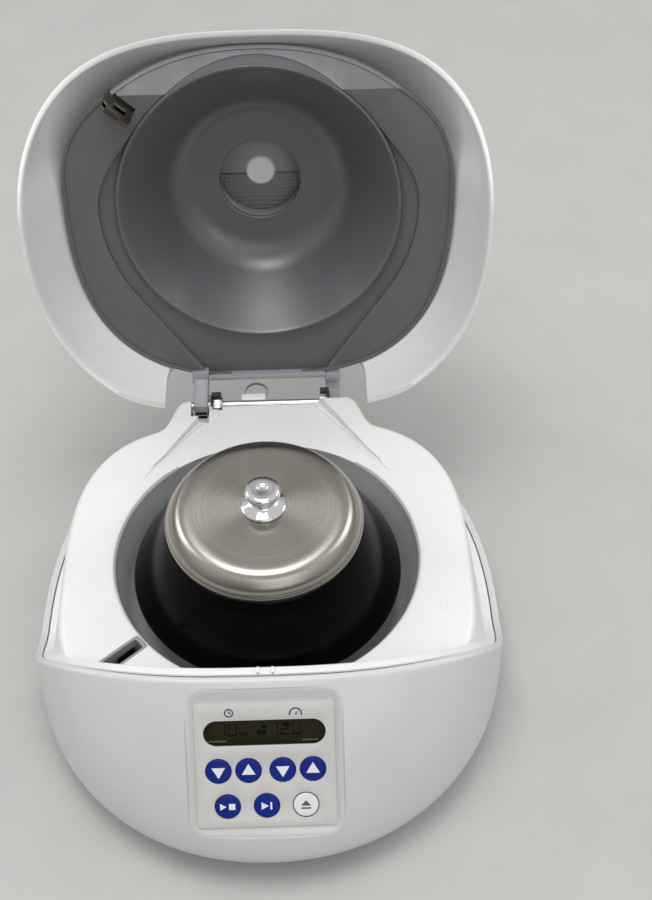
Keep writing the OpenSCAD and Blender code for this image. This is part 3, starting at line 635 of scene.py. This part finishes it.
def polar(hw, yf, yb, nf, nb):
    """The radius of such an outline about its waist, in the directions T."""
    n = np.where(ST < 0, nf, nb)
    reach = np.where(ST < 0, WAIST - yf, yb - WAIST)
    return (np.abs(CT / hw) ** n + np.abs(ST / reach) ** n) ** (-1 / n)


def rim_r(inset):
    front, back = RIM_FRONT + inset, RIM_BACK - inset
    return polar(HALF_W - inset, front, back, RIM_FRONT_POWER, RIM_BACK_POWER)


def smax(a, b, k):
    """The larger of two values, blended where they differ by less than k."""
    h = np.maximum(k - np.abs(a - b), 0) / k
    return np.maximum(a, b) + h * h * k / 4


def ring_at(r, z):
    return np.column_stack([r * CT, WAIST + r * ST, np.broadcast_to(z, len(T))])


neck_side = 50 / np.maximum(np.abs(CT), 1e-6)
neck_back = np.where(ST > 0, 117 / np.maximum(ST, 1e-6), 0)
neck = np.where(ST > 0.2, -smax(-neck_side, -neck_back, 24), 0)
deck_r = smax(polar(97, -74.8, 88, 3.8, 3.3), neck, 14)
foot_r = smax(rim_r(8), neck, 4)
zr = rim_z(WAIST + rim_r(0) * ST) - 1
climb = np.clip((67 - zr) / 20, -1, 1)
under = 65.5 - 7.5 * smooth((deck_r * ST + WAIST - 40) / 12)
P_lip, P_foot = ring_at(rim_r(3.4), zr), ring_at(foot_r, zr)
P_edge, P_deck = ring_at(deck_r, DECK_Z), ring_at(deck_r - 9, DECK_Z)


def toward(p, q, d):
    """Points a distance d from p on the way to q, and at most about half way."""
    v = q - p
    n = np.linalg.norm(v, axis=1, keepdims=True)
    return p + v / np.maximum(n, 1e-6) * np.minimum(d, 0.45 * n)


phi = np.arctan2(P_deck[:, 1], P_deck[:, 0])


def round_ring(r, z):
    """A circle about the rotor's axis, its points in line with the deck's."""
    return np.column_stack([r * np.cos(phi), r * np.sin(phi), np.broadcast_to(z, len(T))])


cover_rings = (
    [ring_at(rim_r(3.4), zr - 2.5), ring_at(rim_r(3.4), zr - 0.6), ring_at(rim_r(3.9), zr)]
    + bend(toward(P_foot, P_lip, 1.6), P_foot, toward(P_foot, P_edge, 1.6), 4)
    + bend(toward(P_edge, P_foot, 4.5), P_edge, toward(P_edge, P_deck, 4.5), 8)
    + [P_deck, round_ring(76, DECK_Z), round_ring(74.1, DECK_Z), round_ring(73.4, 67.8)]
    + [round_ring(73.1, 67.4), round_ring(OPENING_R, 66.8), round_ring(OPENING_R, 64.6)]
    + [round_ring(77, np.minimum(under, 64.6))]
    + [ring_at(deck_r - 3 * climb - 1, under), ring_at(foot_r - 3 * climb, zr - 2.5)]
)
cover = loft("deck_cover", cover_rings, closed=True)
slot_cut = plate("slot_cut", [round_rect(25, 8.4, 1.5)], 40, 90)
slot_cut.data.transform(AT_LATCH)
carve(cover, slot_cut)
tilt = math.atan(6 / 54)


def ramp(inset, drop, y0):
    """The wedge that the sloping recess in front of the hinge is cut with."""
    w0, w1 = 62 - inset, 27 - inset
    ob = plate("ramp", [[(-w0, y0), (w0, y0), (w1 - 1, 106.5), (-w1 + 1, 106.5)]], 0, 14, 0)
    for v in ob.data.vertices:
        if v.co.z < 0.001:
            v.co.z = (DECK_Z - drop) * MM - (v.co.y - 0.05) * math.tan(tilt)
        else:
            v.co.z = 0.08
    return ob


carve(cover, ramp(0, 0, 50))
carve(cover, ramp(4.2, 0.7, 58))
carve(cover, block("arm_gap", (-39.6, 91.5, 46), (-30.4, 112, 80), 0.4))
carve(cover, block("nut_gap", (-32, 101.2, 50), (-23.6, 112, 80), 0.3))
place(cover, WHITE, "base", None, ("top_cover",), 40)
cheeks = [
    block("c", (-41.2, 90, 44.6), (-39.6, 103.2, 62.5), 0.3),
    block("c", (-30.4, 90, 44.6), (-28.8, 103.2, 62.5), 0.3),
    block("c", (-41.2, 90, 44.6), (-28.8, 91.5, 62.5), 0.3),
    block("c", (-41.2, 90, 44), (-28.8, 103.2, 46), 0.3),
]
place(join("arm_well", cheeks), WHITE, "base", None, ())


def arrow(tip, wing, shaft, neck_y, tail_y):
    half = [(wing, neck_y), (shaft, neck_y), (shaft, tail_y)]
    return [(0, tip)] + half + [(-x, y) for x, y in half[::-1]]


mark = plate("deck_arrow", [arrow(5.4, 3.6, 1.7, 1.4, -4.6), arrow(4.75, 2.6, 1.25, 1.85, -4.15)],
             67.9, 68.12, 0.05)
mark.data.transform(turned_at((0.083, -0.030, 0), -8, "Z"))
place(mark, WHITE, "base", None, ())
sleeve = join("slot_sleeve", [
    plate("s", [round_rect(24.6, 8.1, 1.3), round_rect(21.2, 5.9, 0.9)], 66.6, 68.05, 0.2),
    plate("s", [round_rect(22.6, 7.3, 1.2), round_rect(21.2, 5.9, 0.9)], 56.5, 66.8, 0.1),
])
place(sleeve, SLEEVE, "base", AT_LATCH, ("latch_bezel",))
port = block("slot_port", (-0.5, 2.7, 57.5), (9, 3.05, 63), 0.1)
place(port, BLACK, "base", AT_LATCH, ())

ribs = [block("r", (x - 0.65, -79.4, 86.4), (x + 0.65, -76.2, 88.7), 0.4) for x in (-3.2, 3.2)]
place(join("front_ribs", ribs), WHITE, "base", None, ())

# ---------- chamber and rotor ----------
bowl = lathe(
    "bowl_skin",
    rounded([(14.5, 37), (14.5, 33.6), (59.5, 33.6), (65.4, 36), (68.6, 41.5), (72.2, 61),
             (72.6, 66.6), (72.95, 66.6), (73.6, 60.5), (69.8, 40.6), (66, 34.6), (60, 32),
             (13.5, 32), (13.5, 37)],
            [0, 0.6, 2, 3, 4, 3, 0.2, 0.1, 3, 4, 3, 2, 0.5, 0], 5),
    192, closed=True,
)
for vertex in bowl.data.vertices:  # the lip follows the sloping recess
    if vertex.co.y > 0.050:
        vertex.co.z = min(vertex.co.z, 0.0676 - 0.111 * (vertex.co.y - 0.050))
place(bowl, BOWL, "base", None, ("chamber_bowl",))
seal_profile = rounded([(73.7, 64.7), (75.8, 64.7), (75.8, 65.3), (73.7, 65.3)], 0.1, 2)
seal = lathe("chamber_seal", seal_profile, 120, closed=True)
carve(seal, block("ramp_side", (-90, 49.6, 60), (90, 90, 70), 0.1))
place(seal, RUBBER, "base", None, ("chamber_gasket",))
rotor_profile = rounded(
    [(0.01, 46), (44, 46), (58, 50), (63.7, 56.5), (64.5, 58), (63.9, 60), (46.5, 93), (45.9, 93.6),
     (44, 93.6), (20, 68), (11, 68), (11, 80), (4.05, 80), (4.05, 46)],
    [0, 2, 3, 0.8, 0.5, 0.5, 0.3, 0.3, 1, 3, 1, 0.6, 0.2, 0], 4,
)
rotor = lathe("rotor_cone", rotor_profile[1:], 192, closed=True)
bores = []
for i in range(12):
    bore = lathe("b", [(0, -12), (5.6, -12), (5.6, 36), (0, 36)], 40)
    turn = Matrix.Rotation(2 * math.pi * (i + 0.5) / 12, 4, "Z")
    bore.data.transform(turn @ turned_at((0.032, 0, 0.080), 135, "Y"))
    bores.append(bore)
carve(rotor, join("bores", bores))
place(rotor, ROTOR, "rotor", None, ("rotor_body",), 32)
steel = lathe(
    "steel_lid",
    rounded([(3.1, 105.5), (37.2, 105.5), (41.2, 103.7), (44.4, 99.6), (45.2, 97.4), (45.9, 96.4),
             (46.4, 95.4), (46.0, 94.7), (44.7, 94.7), (44.4, 95.6), (43.2, 99.5), (40.2, 103),
             (37, 104.3), (3.1, 104.3)],
            [0, 4, 3, 2.5, 0.5, 0.5, 0.5, 0.3, 0.3, 1, 2, 3, 3, 0], 7),
    192, closed=True,
)
place(steel, STEEL, "rotor_lid", None, ("rotor_lid",), 40)
knob = lathe(
    "chrome_knob",
    rounded([(3, 105.6), (10.2, 105.6), (10.7, 106.2), (10.4, 107), (8.2, 108), (5.7, 109.2),
             (5.1, 110.8), (5.5, 112.4), (8.1, 113.4), (8.5, 115.4), (7.7, 117.2), (5.6, 117.7),
             (2.6, 117.5), (2.1, 116.9), (0, 116.7)],
            [0, 0.4, 0.4, 0.5, 1.5, 1.5, 1, 1, 0.8, 1.2, 1.2, 1, 0.4, 0.5, 0], 5),
    96,
)
place(knob, CHROME, "knob", None, ("lid_knob",), 50)

# ---------- lid's inside ----------
def lid_lathe(name, profile, mat, stands_for, segments):
    return place(lathe(name, profile, segments), mat, "lid", AT_LID, stands_for, 40)


lid_lathe(
    "funnel_bowl",
    rounded([(71.6, 77), (71.6, 70.2), (71.3, 69.7), (70.3, 69.7), (69.5, 70.6), (56, 89.6),
             (42.6, 108.2), (21.6, 108.6), (21, 109), (21, 110.5), (41.5, 110.5), (48.6, 104),
             (70.4, 77)],
            [0, 0.4, 0.3, 0.4, 0.7, 0, 15, 0.4, 0.4, 0.2, 2, 2, 0], 9),
    FUNNEL, ("lid_funnel",), 192,
)
collar = rounded([(71.68, 71), (71.68, 90), (70.9, 90), (70.9, 71)], 0.1, 2)
lid_lathe("funnel_collar", collar, LINER, (), 192)
grid = [plate("g", [circle(22.3, n=64)], 122.6, 123.8, 0.1)]
for k in range(-9, 10):
    u = k * 2.3
    half, v = math.sqrt(21.6**2 - u * u), max(u, 1.9)
    grid.append(block("g", (-half, v - 0.3, 121.5), (half, v + 0.3, 122.8), 0.1))
    if half > 3:
        grid.append(block("g", (u - 0.3, 1.9, 121.5), (u + 0.3, half, 122.8), 0.1))
place(join("rib_grid", grid), GRID, "lid", AT_LID, ("lid_rib_plate",))
lid_lathe(
    "sight_window",
    rounded([(0, 120.8), (6.9, 120.8), (7.6, 121.5), (8.05, 122.4), (8.05, 129.7), (7.6, 129.9),
             (0, 129.9)],
            [0, 0.4, 0.5, 0.4, 0.3, 0.2, 0], 4),
    GLASS_PAINTED_BRIGHT, ("sight_glass",), 96,
)


def liner_outline(inset):
    a = even_angles(200, lambda t: plan(t, 97.2, -75.5, 96.2, 2.2, 2.8))
    return [tuple(p) for p in plan(a, 97.2 - inset, -75.5 + inset, 96.2 - inset, 2.2, 2.8)]


def facet(co):
    """Raises what lies beyond y -58, where the liner's front slopes."""
    lift = max(0.0, -58 - co.y) * 21.2 / 18.5
    return Vector((co.x, co.y, co.z + lift))


def keyhole():
    """The recess round the bowl: two crescents that run into a tail at the hinge."""
    half = []
    spans = ((53.3, 94, 30), (96, 124, 12), (128, 180, 22))
    for t in np.concatenate([np.linspace(*span) for span in spans]):
        r = 80.4 - 8.6 * smooth((t - 90) / 34)
        half.append((r * math.sin(math.radians(t)), r * math.cos(math.radians(t))))
    return [(30.6, 94.4)] + half + [(-x, y) for x, y in half[-2::-1]] + [(-30.6, 94.4)]


FACET_CUTS = (-58, -62, -66, -70, -73)
slot_line = [(x + 1.5, y) for x, y in round_rect(16.6, 5.9, 1)]


def liner_plate(name, loops, z0, z1, edge, stands_for=()):
    ob = plate(name, loops, z0, z1, edge, facet, FACET_CUTS)
    slot = plate("slot", [slot_line], 60, 90)
    slot.data.transform(AT_LATCH)
    carve(ob, slot)
    return place(ob, LINER, "lid", AT_LID, stands_for, 30)


liner_plate("liner_deep", [liner_outline(0.3), circle(71.7, n=120)], 73.6, 75, 0.2)
liner_plate("liner_face", [liner_outline(0), keyhole()], 71, 73.9, 0.35, ("lid_liner",))
lip_loops = [liner_outline(0), liner_outline(1.6)]
rim_edge = plate("liner_lip", lip_loops, 70.3, 73, 0.3, facet, FACET_CUTS)
place(rim_edge, LINER, "lid", AT_LID, (), 30)

# the striker: a bent loop of two windowed cheeks, with its foot behind the liner
outline = [(-6.3, 75.4), (-6.3, 57), (-4.2, 55), (-4.2, 53), (-3.4, 52), (8, 52), (9.3, 53.2),
           (9.3, 75.4)]
hole = [(-1, 56), (5.6, 56), (5.6, 63), (-1, 63)]
loop = []
for s in (-1, 1):
    y0 = s * 1.3 - 0.6
    cheek = plate("k", [outline, hole], -y0 - 1.2, -y0, 0.35)
    cheek.data.transform(UPRIGHT)
    loop.append(cheek)
loop.append(block("k", (-4.2, -1.9, 52), (9, 1.9, 53.6), 0.5))
loop.append(block("k", (2.3, -4, 74.05), (12, 4, 75.5), 0.3))
strike = join("striker_loop", loop)
strike.data.transform(AT_LATCH)
place(strike, BRONZE, "lid", AT_LID, ("lid_striker",), 40)

left_arm = [(91.8, 77), (91.8, 71.6), (95, 70), (102.4, 59), (105.6, 55.6), (110.8, 55),
            (112.6, 57.6), (111, 64), (108, 70), (98, 77)]
hub = [(HINGE[1] + 3 * math.cos(t), HINGE[2] + 3 * math.sin(t))
       for t in np.linspace(-math.pi + 0.1, -0.1, 14)]
right_arm = [(94, 77), (94, 71.6), (96, 70.6), (104.2, 69.4)] + hub + [(110.6, 71.5), (97, 77)]
for which, x0, outline in (("left", -38.8, left_arm), ("right", 31.1, right_arm)):
    arm = along_x("arm_" + which, outline, x0, x0 + 7.6, 0.8)
    place(arm, ARM, "lid", AT_LID, (), 35)
foot = join("arm_feet", [
    block("f", (-39.6, 92, 68.4), (-30.6, 99.4, 74), 0.7),
    block("f", (30.8, 95, 68.4), (39, 99.6, 74), 0.7),
])
place(foot, ARM, "lid", AT_LID, (), 35)
# the liner's hinge end takes the arms' lighter grey instead of the liner's dark grey: painted light
# on a face that turns up to the ceiling
tail = block("liner_tail_painted_light", (-30, 94.2, 67.6), (31, 96.6, 74), 0.4)
place(tail, ARM, "lid", AT_LID, (), 35)
pad = [(108.6, 54.6), (113, 56), (113.8, 58.4), (109, 56.6)]
bumper = along_x("arm_bumper", pad, -38, -32, 0.3)
place(bumper, RUBBER, "lid", AT_LID, (), 35)

screw = rounded([(0, 75.1), (2.6, 75.1), (2.6, 76.2), (1.4, 76.4), (1.4, 80), (0, 80)], 0.2, 2)
screw_places = ((-84, 30), (84, 30), (-84, -20), (84, -20))
studs = [moved(lathe("v", screw, 24), x, y) for x, y in screw_places]
place(join("liner_studs", studs), ZINC, "lid", AT_LID, ("liner_screws",), 40)

# ---------- hinge ----------
def across(ob):
    """Turns a piece drawn along Z to lie along X at the hinge line."""
    ob.data.transform(turned_at(AT_HINGE, 90, "Y"))
    return ob


pin_profile = [(0, -42), (2.1, -42), (2.5, -41.4), (2.5, -40), (2.1, -39.9), (2.1, -39.1),
               (2.5, -39), (2.5, 39), (2.1, 39.1), (2.1, 39.9), (2.5, 40), (2.5, 41.4), (2.1, 42),
               (0, 42)]
pin = lathe("hinge_pin", rounded(pin_profile, 0.1, 3), 48)
place(across(pin), ROD, "base", None, ("hinge_rod",), 40)
nuts = []
for x0 in (-28.4, 27.4):
    nuts.append(plate("n", [circle(4.4, n=6), circle(2.52, n=32)], x0, x0 + 4.2, 0.45))
    washer = [(2.55, 3.9), (5, 3.9), (5.1, 4.4), (4.9, 4.8), (2.55, 4.8)]
    nuts.append(lathe("w", [(r, x0 + x) for r, x in washer], 40, closed=True))
nuts = across(join("hinge_hex_nuts", nuts))
place(nuts, ZINC, "base", None, ("hinge_nuts",), 30)
lugs = []
for x0, x1, z1 in ((-30.1, -28.9, 64), (31.7, 33, 65)):
    outline = [(104.05, 52), (108, 52), (112.2, 56), (112.2, z1 - 2), (110, z1), (104.05, z1)]
    lugs.append(along_x("l", outline, x0, x1, 0.3))
lugs.append(block("l", (-29.4, 109.8, 60), (-24.4, 112.2, 64), 0.3))
lugs.append(block("l", (28, 109.8, 62.4), (32.6, 112.2, 65.4), 0.3))
place(join("hinge_lugs", lugs), BASE, "base", None, ("hinge_brackets",), 35)
post = join("spacer_post", [
    block("p", (-13.9, 104.05, 47), (-0.9, 110.4, 54.5), 0.6),
    block("p", (-13.9, 109.9, 47), (-0.9, 114.8, 59.6), 0.8),
])
place(post, WHITE, "base", None, ("rear_spacer",), 40)
ring_profile = rounded([(5.5, 56.2), (6.3, 56.2), (6.3, 57.2), (5.5, 57.2)], 0.25, 3)
cup = lathe("spacer_ring", ring_profile, 64, closed=True)
place(moved(cup, -6, 118.4), ARM, "base", None, ("spacer_pad",), 40)

# ---------- panel ----------
KEYS = {
    "key_time_down": (-20.7, -2.4), "key_time_up": (-7.5, -2.4), "key_speed_down": (7.5, -2.4),
    "key_speed_up": (20.7, -2.4), "key_start_stop": (-17.2, -18.9), "key_short": (0, -18.9),
    "key_open": (17.2, -18.9),
}
KEY_HOLE_R = 5.85
INK_Z = 0.98, 1.05  # printed on the film
KEY_INK_Z = 1.36, 1.44  # printed on a key
holes = [circle(KEY_HOLE_R, x, y) for x, y in KEYS.values()]


def at_lcd(points):
    return [(x, y + LCD_Y) for x, y in points]


window = at_lcd(round_rect(53.4, 11.6, 5.79, 14))
film = plate("overlay_film", [round_rect(61.4, 57.5, 1.1), window] + holes, 0, 1.0, 0.12)
place(film, OVERLAY, "base", AT_PANEL, ("keypad_overlay",))


def on_panel(name, loops, z0, z1, mat, body):
    place(plate(name, loops, z0, z1), mat, body, AT_PANEL)


cap_profile = rounded([(6.3, -1.3), (6.3, -0.5), (5.55, -0.3), (5.55, 1.1), (4.9, 1.32), (0, 1.4)],
                      [0, 0.2, 0.2, 0.4, 0.6, 0], 4)
for key, (x, y) in KEYS.items():
    dome = moved(lathe(key + "_cap", cap_profile, 72), x, y)
    mat, slot = (KEYWHITE, "key_white") if key == "key_open" else (BLUE, "key_blue")
    place(dome, mat, key, AT_PANEL, (key,))
    if key.startswith(("key_time", "key_speed")):
        up = 1 if key.endswith("_up") else -1
        tri = [(x - 3, y - 1.7 * up), (x, y + 3.3 * up), (x + 3, y - 1.7 * up)]
        on_panel(key + "_mark", [tri], *KEY_INK_Z, INKWHITE, key)


def box(x0, y0, x1, y1):
    return [(x0, y0), (x1, y0), (x1, y1), (x0, y1)]


x, y = KEYS["key_start_stop"]
play = [(x - 3.4, y + 1.6), (x - 0.6, y), (x - 3.4, y - 1.6)]
play_stop = [play, box(x + 0.5, y - 1.4, x + 3.3, y + 1.4)]
on_panel("key_start_stop_mark", play_stop, *KEY_INK_Z, INKWHITE, "key_start_stop")
x, y = KEYS["key_short"]
step = [(x - 2.4, y + 1.7), (x + 0.9, y), (x - 2.4, y - 1.7)]
step_bar = [step, box(x + 1.5, y - 1.7, x + 2.3, y + 1.7)]
on_panel("key_short_mark", step_bar, *KEY_INK_Z, INKWHITE, "key_short")
x, y = KEYS["key_open"]
lift = [(x - 2.2, y - 0.4), (x, y + 2.1), (x + 2.2, y - 0.4)]
lift_bar = [lift, box(x - 2.2, y - 1.9, x + 2.2, y - 1.2)]
on_panel("key_open_mark", lift_bar, *KEY_INK_Z, INKDARK, "key_open")
open_ring = [circle(KEY_HOLE_R, x, y), circle(5.5, x, y)]
on_panel("key_open_ring", open_ring, 1.0, 1.12, INKBLUE, "base")

# captions: a clock and a gauge
clock = [circle(2.0, -15.2, 24.3), circle(1.45, -15.2, 24.3)]
on_panel("clock_ring", clock, *INK_Z, INKBLUE, "base")
hands = [(-15.45, 25.4), (-15.45, 24.0), (-14.2, 24.0), (-14.2, 24.45), (-14.95, 24.45),
         (-14.95, 25.4)]
on_panel("clock_hands", [hands], *INK_Z, INKBLUE, "base")
arc = [(13.8 + r * math.cos(t), 23.2 + r * math.sin(t)) for r, turn in ((2.9, 1), (2.3, -1))
       for t in np.linspace(-0.25, math.pi + 0.25, 25)[::turn]]
on_panel("gauge_arc", [arc], *INK_Z, INKBLUE, "base")
on_panel("gauge_needle", [[(13.4, 23.1), (13.95, 22.7), (15.3, 25)]], *INK_Z, INKBLUE, "base")

# the display: its face, its figures and the pale ends of its lower edge
face = plate("lcd_face", [at_lcd(round_rect(54, 14, 0.6))], -3.2, -1.4, 0.1)
place(face, LCD, "base", AT_PANEL, ("lcd_module",))
SEGMENTS = {"0": "abcdef", "1": "bc", "2": "abged"}


def figure(char, x, y):
    """Loops of a seven-bar figure with its lower left corner at x, y."""
    w, h, t, g = 3.2, 5.4, 0.62, 0.12  # width, height, bar and gap
    m = h / 2
    bars = {
        "a": box(x + g, y + h - t, x + w - g, y + h), "d": box(x + g, y, x + w - g, y + t),
        "g": box(x + g, y + m - t / 2, x + w - g, y + m + t / 2),
        "f": box(x - t / 2, y + m + t / 2 + g, x + t / 2 - g, y + h - g),
        "e": box(x - t / 2, y + g, x + t / 2 - g, y + m - t / 2 - g),
        "b": box(x + w - t / 2 + g, y + m + t / 2 + g, x + w + t / 2, y + h - g),
        "c": box(x + w - t / 2 + g, y + g, x + w + t / 2, y + m - t / 2 - g),
    }
    return [bars[k] for k in SEGMENTS[char]]


shown = []
for char, x in (("1", -20.6), ("0", -15.6), ("1", 2.4), ("2", 7.4), ("0", 12.6)):
    shown += figure(char, x, 12.8)
shown += [box(11.1, 12.8, 11.7, 13.4), box(-10.4, 12.8, -9.8, 14.3), box(-9.2, 12.8, -8.6, 14.3),
          box(-8, 12.8, -7.4, 14.3), box(-3.4, 13, 0.6, 15.2), box(-1.2, 16, 0.6, 17.4)]
on_panel("lcd_figures", shown, -1.42, -1.32, LCDINK, "base")
ends = [box(-24.6, 10.2, -16.8, 10.8), box(16.4, 10.0, 23.6, 10.6)]
on_panel("lcd_edge", ends, -1.42, -1.3, LCDEDGE, "base")
pane = plate("lcd_pane", [at_lcd(round_rect(53.2, 11.4, 5.69, 14))], 0.2, 0.9, 0.15)
place(pane, LENS_PAINTED_DARK, "base", AT_PANEL, ("lcd_window",))

# ---------- floor, lights, camera ----------
floor = plate("floor", [round_rect(4000, 4000, 100)], -2, 0)
pale = plastic("pale_floor", (0.50, 0.49, 0.475), 0.6, grain=400, depth=0.00001)
floor.data.materials.append(pale)


def area(name, energy, size, location, target):
    light = bpy.data.lights.new(name, "AREA")
    light.energy, light.size = energy, size
    ob = bpy.data.objects.new(name, light)
    ob.location = location
    ob.rotation_euler = (Vector(target) - Vector(location)).to_track_quat("-Z", "Y").to_euler()
    COLLECTION.objects.link(ob)


area("key", 7.6, 0.7, (-0.1, 0.05, 1.5), (0, 0.05, 0.08))
area("fill", 3.6, 1.0, (0.3, -1.2, 0.9), (0, 0, 0.08))
for side_x in (-1.1, 1.1):
    area("side", 3.0, 0.5, (side_x, 0.45, 0.75), (0, 0, 0.08))

# the sky is bright overhead and at both sides, and dim elsewhere
world = bpy.data.worlds.new("studio")
bpy.context.scene.world = world
world.use_nodes = True
sky, backdrop = world.node_tree, world.node_tree.nodes["Background"]


def sky_math(operation, first, second):
    node = sky.nodes.new("ShaderNodeMath")
    node.operation = operation
    sky.links.new(first, node.inputs[0])
    if isinstance(second, float):
        node.inputs[1].default_value = second
    else:
        sky.links.new(second, node.inputs[1])
    return node.outputs["Value"]


aim = sky.nodes.new("ShaderNodeSeparateXYZ")
sky.links.new(sky.nodes.new("ShaderNodeTexCoord").outputs["Generated"], aim.inputs[0])
sideways = sky_math("MULTIPLY", sky_math("ABSOLUTE", aim.outputs["X"], 0.0), 0.7)
fade = sky.nodes.new("ShaderNodeValToRGB")
dim, bright = fade.color_ramp.elements
dim.color, dim.position = (0.26, 0.26, 0.26, 1), 0.55
bright.color, bright.position = (1, 1, 1, 1), 0.98
sky.links.new(sky_math("ADD", sideways, aim.outputs["Z"]), fade.inputs["Fac"])
sky.links.new(fade.outputs["Color"], backdrop.inputs["Color"])
backdrop.inputs["Strength"].default_value = 0.72
bpy.context.scene.view_settings.view_transform = "Standard"

yaw, pitch, roll = (math.radians(v) for v in (0.56, 48.7, -1.26))
level = math.cos(pitch)
fwd = Vector((math.sin(yaw) * level, math.cos(yaw) * level, -math.sin(pitch)))
right = Vector((math.cos(yaw), -math.sin(yaw), 0))
up = right.cross(fwd)
cam_x = math.cos(roll) * right + math.sin(roll) * up
cam_y = -math.sin(roll) * right + math.cos(roll) * up
camera = bpy.data.cameras.new("camera")
camera.lens = 59.8
camera.shift_x, camera.shift_y = 0.0022, -0.0028
cam = bpy.data.objects.new("camera", camera)
facing = Matrix((cam_x, cam_y, -fwd)).transposed().to_4x4()
cam.matrix_world = Matrix.Translation((0.0242, -0.4344, 0.6391)) @ facing
COLLECTION.objects.link(cam)
bpy.context.scene.camera = cam
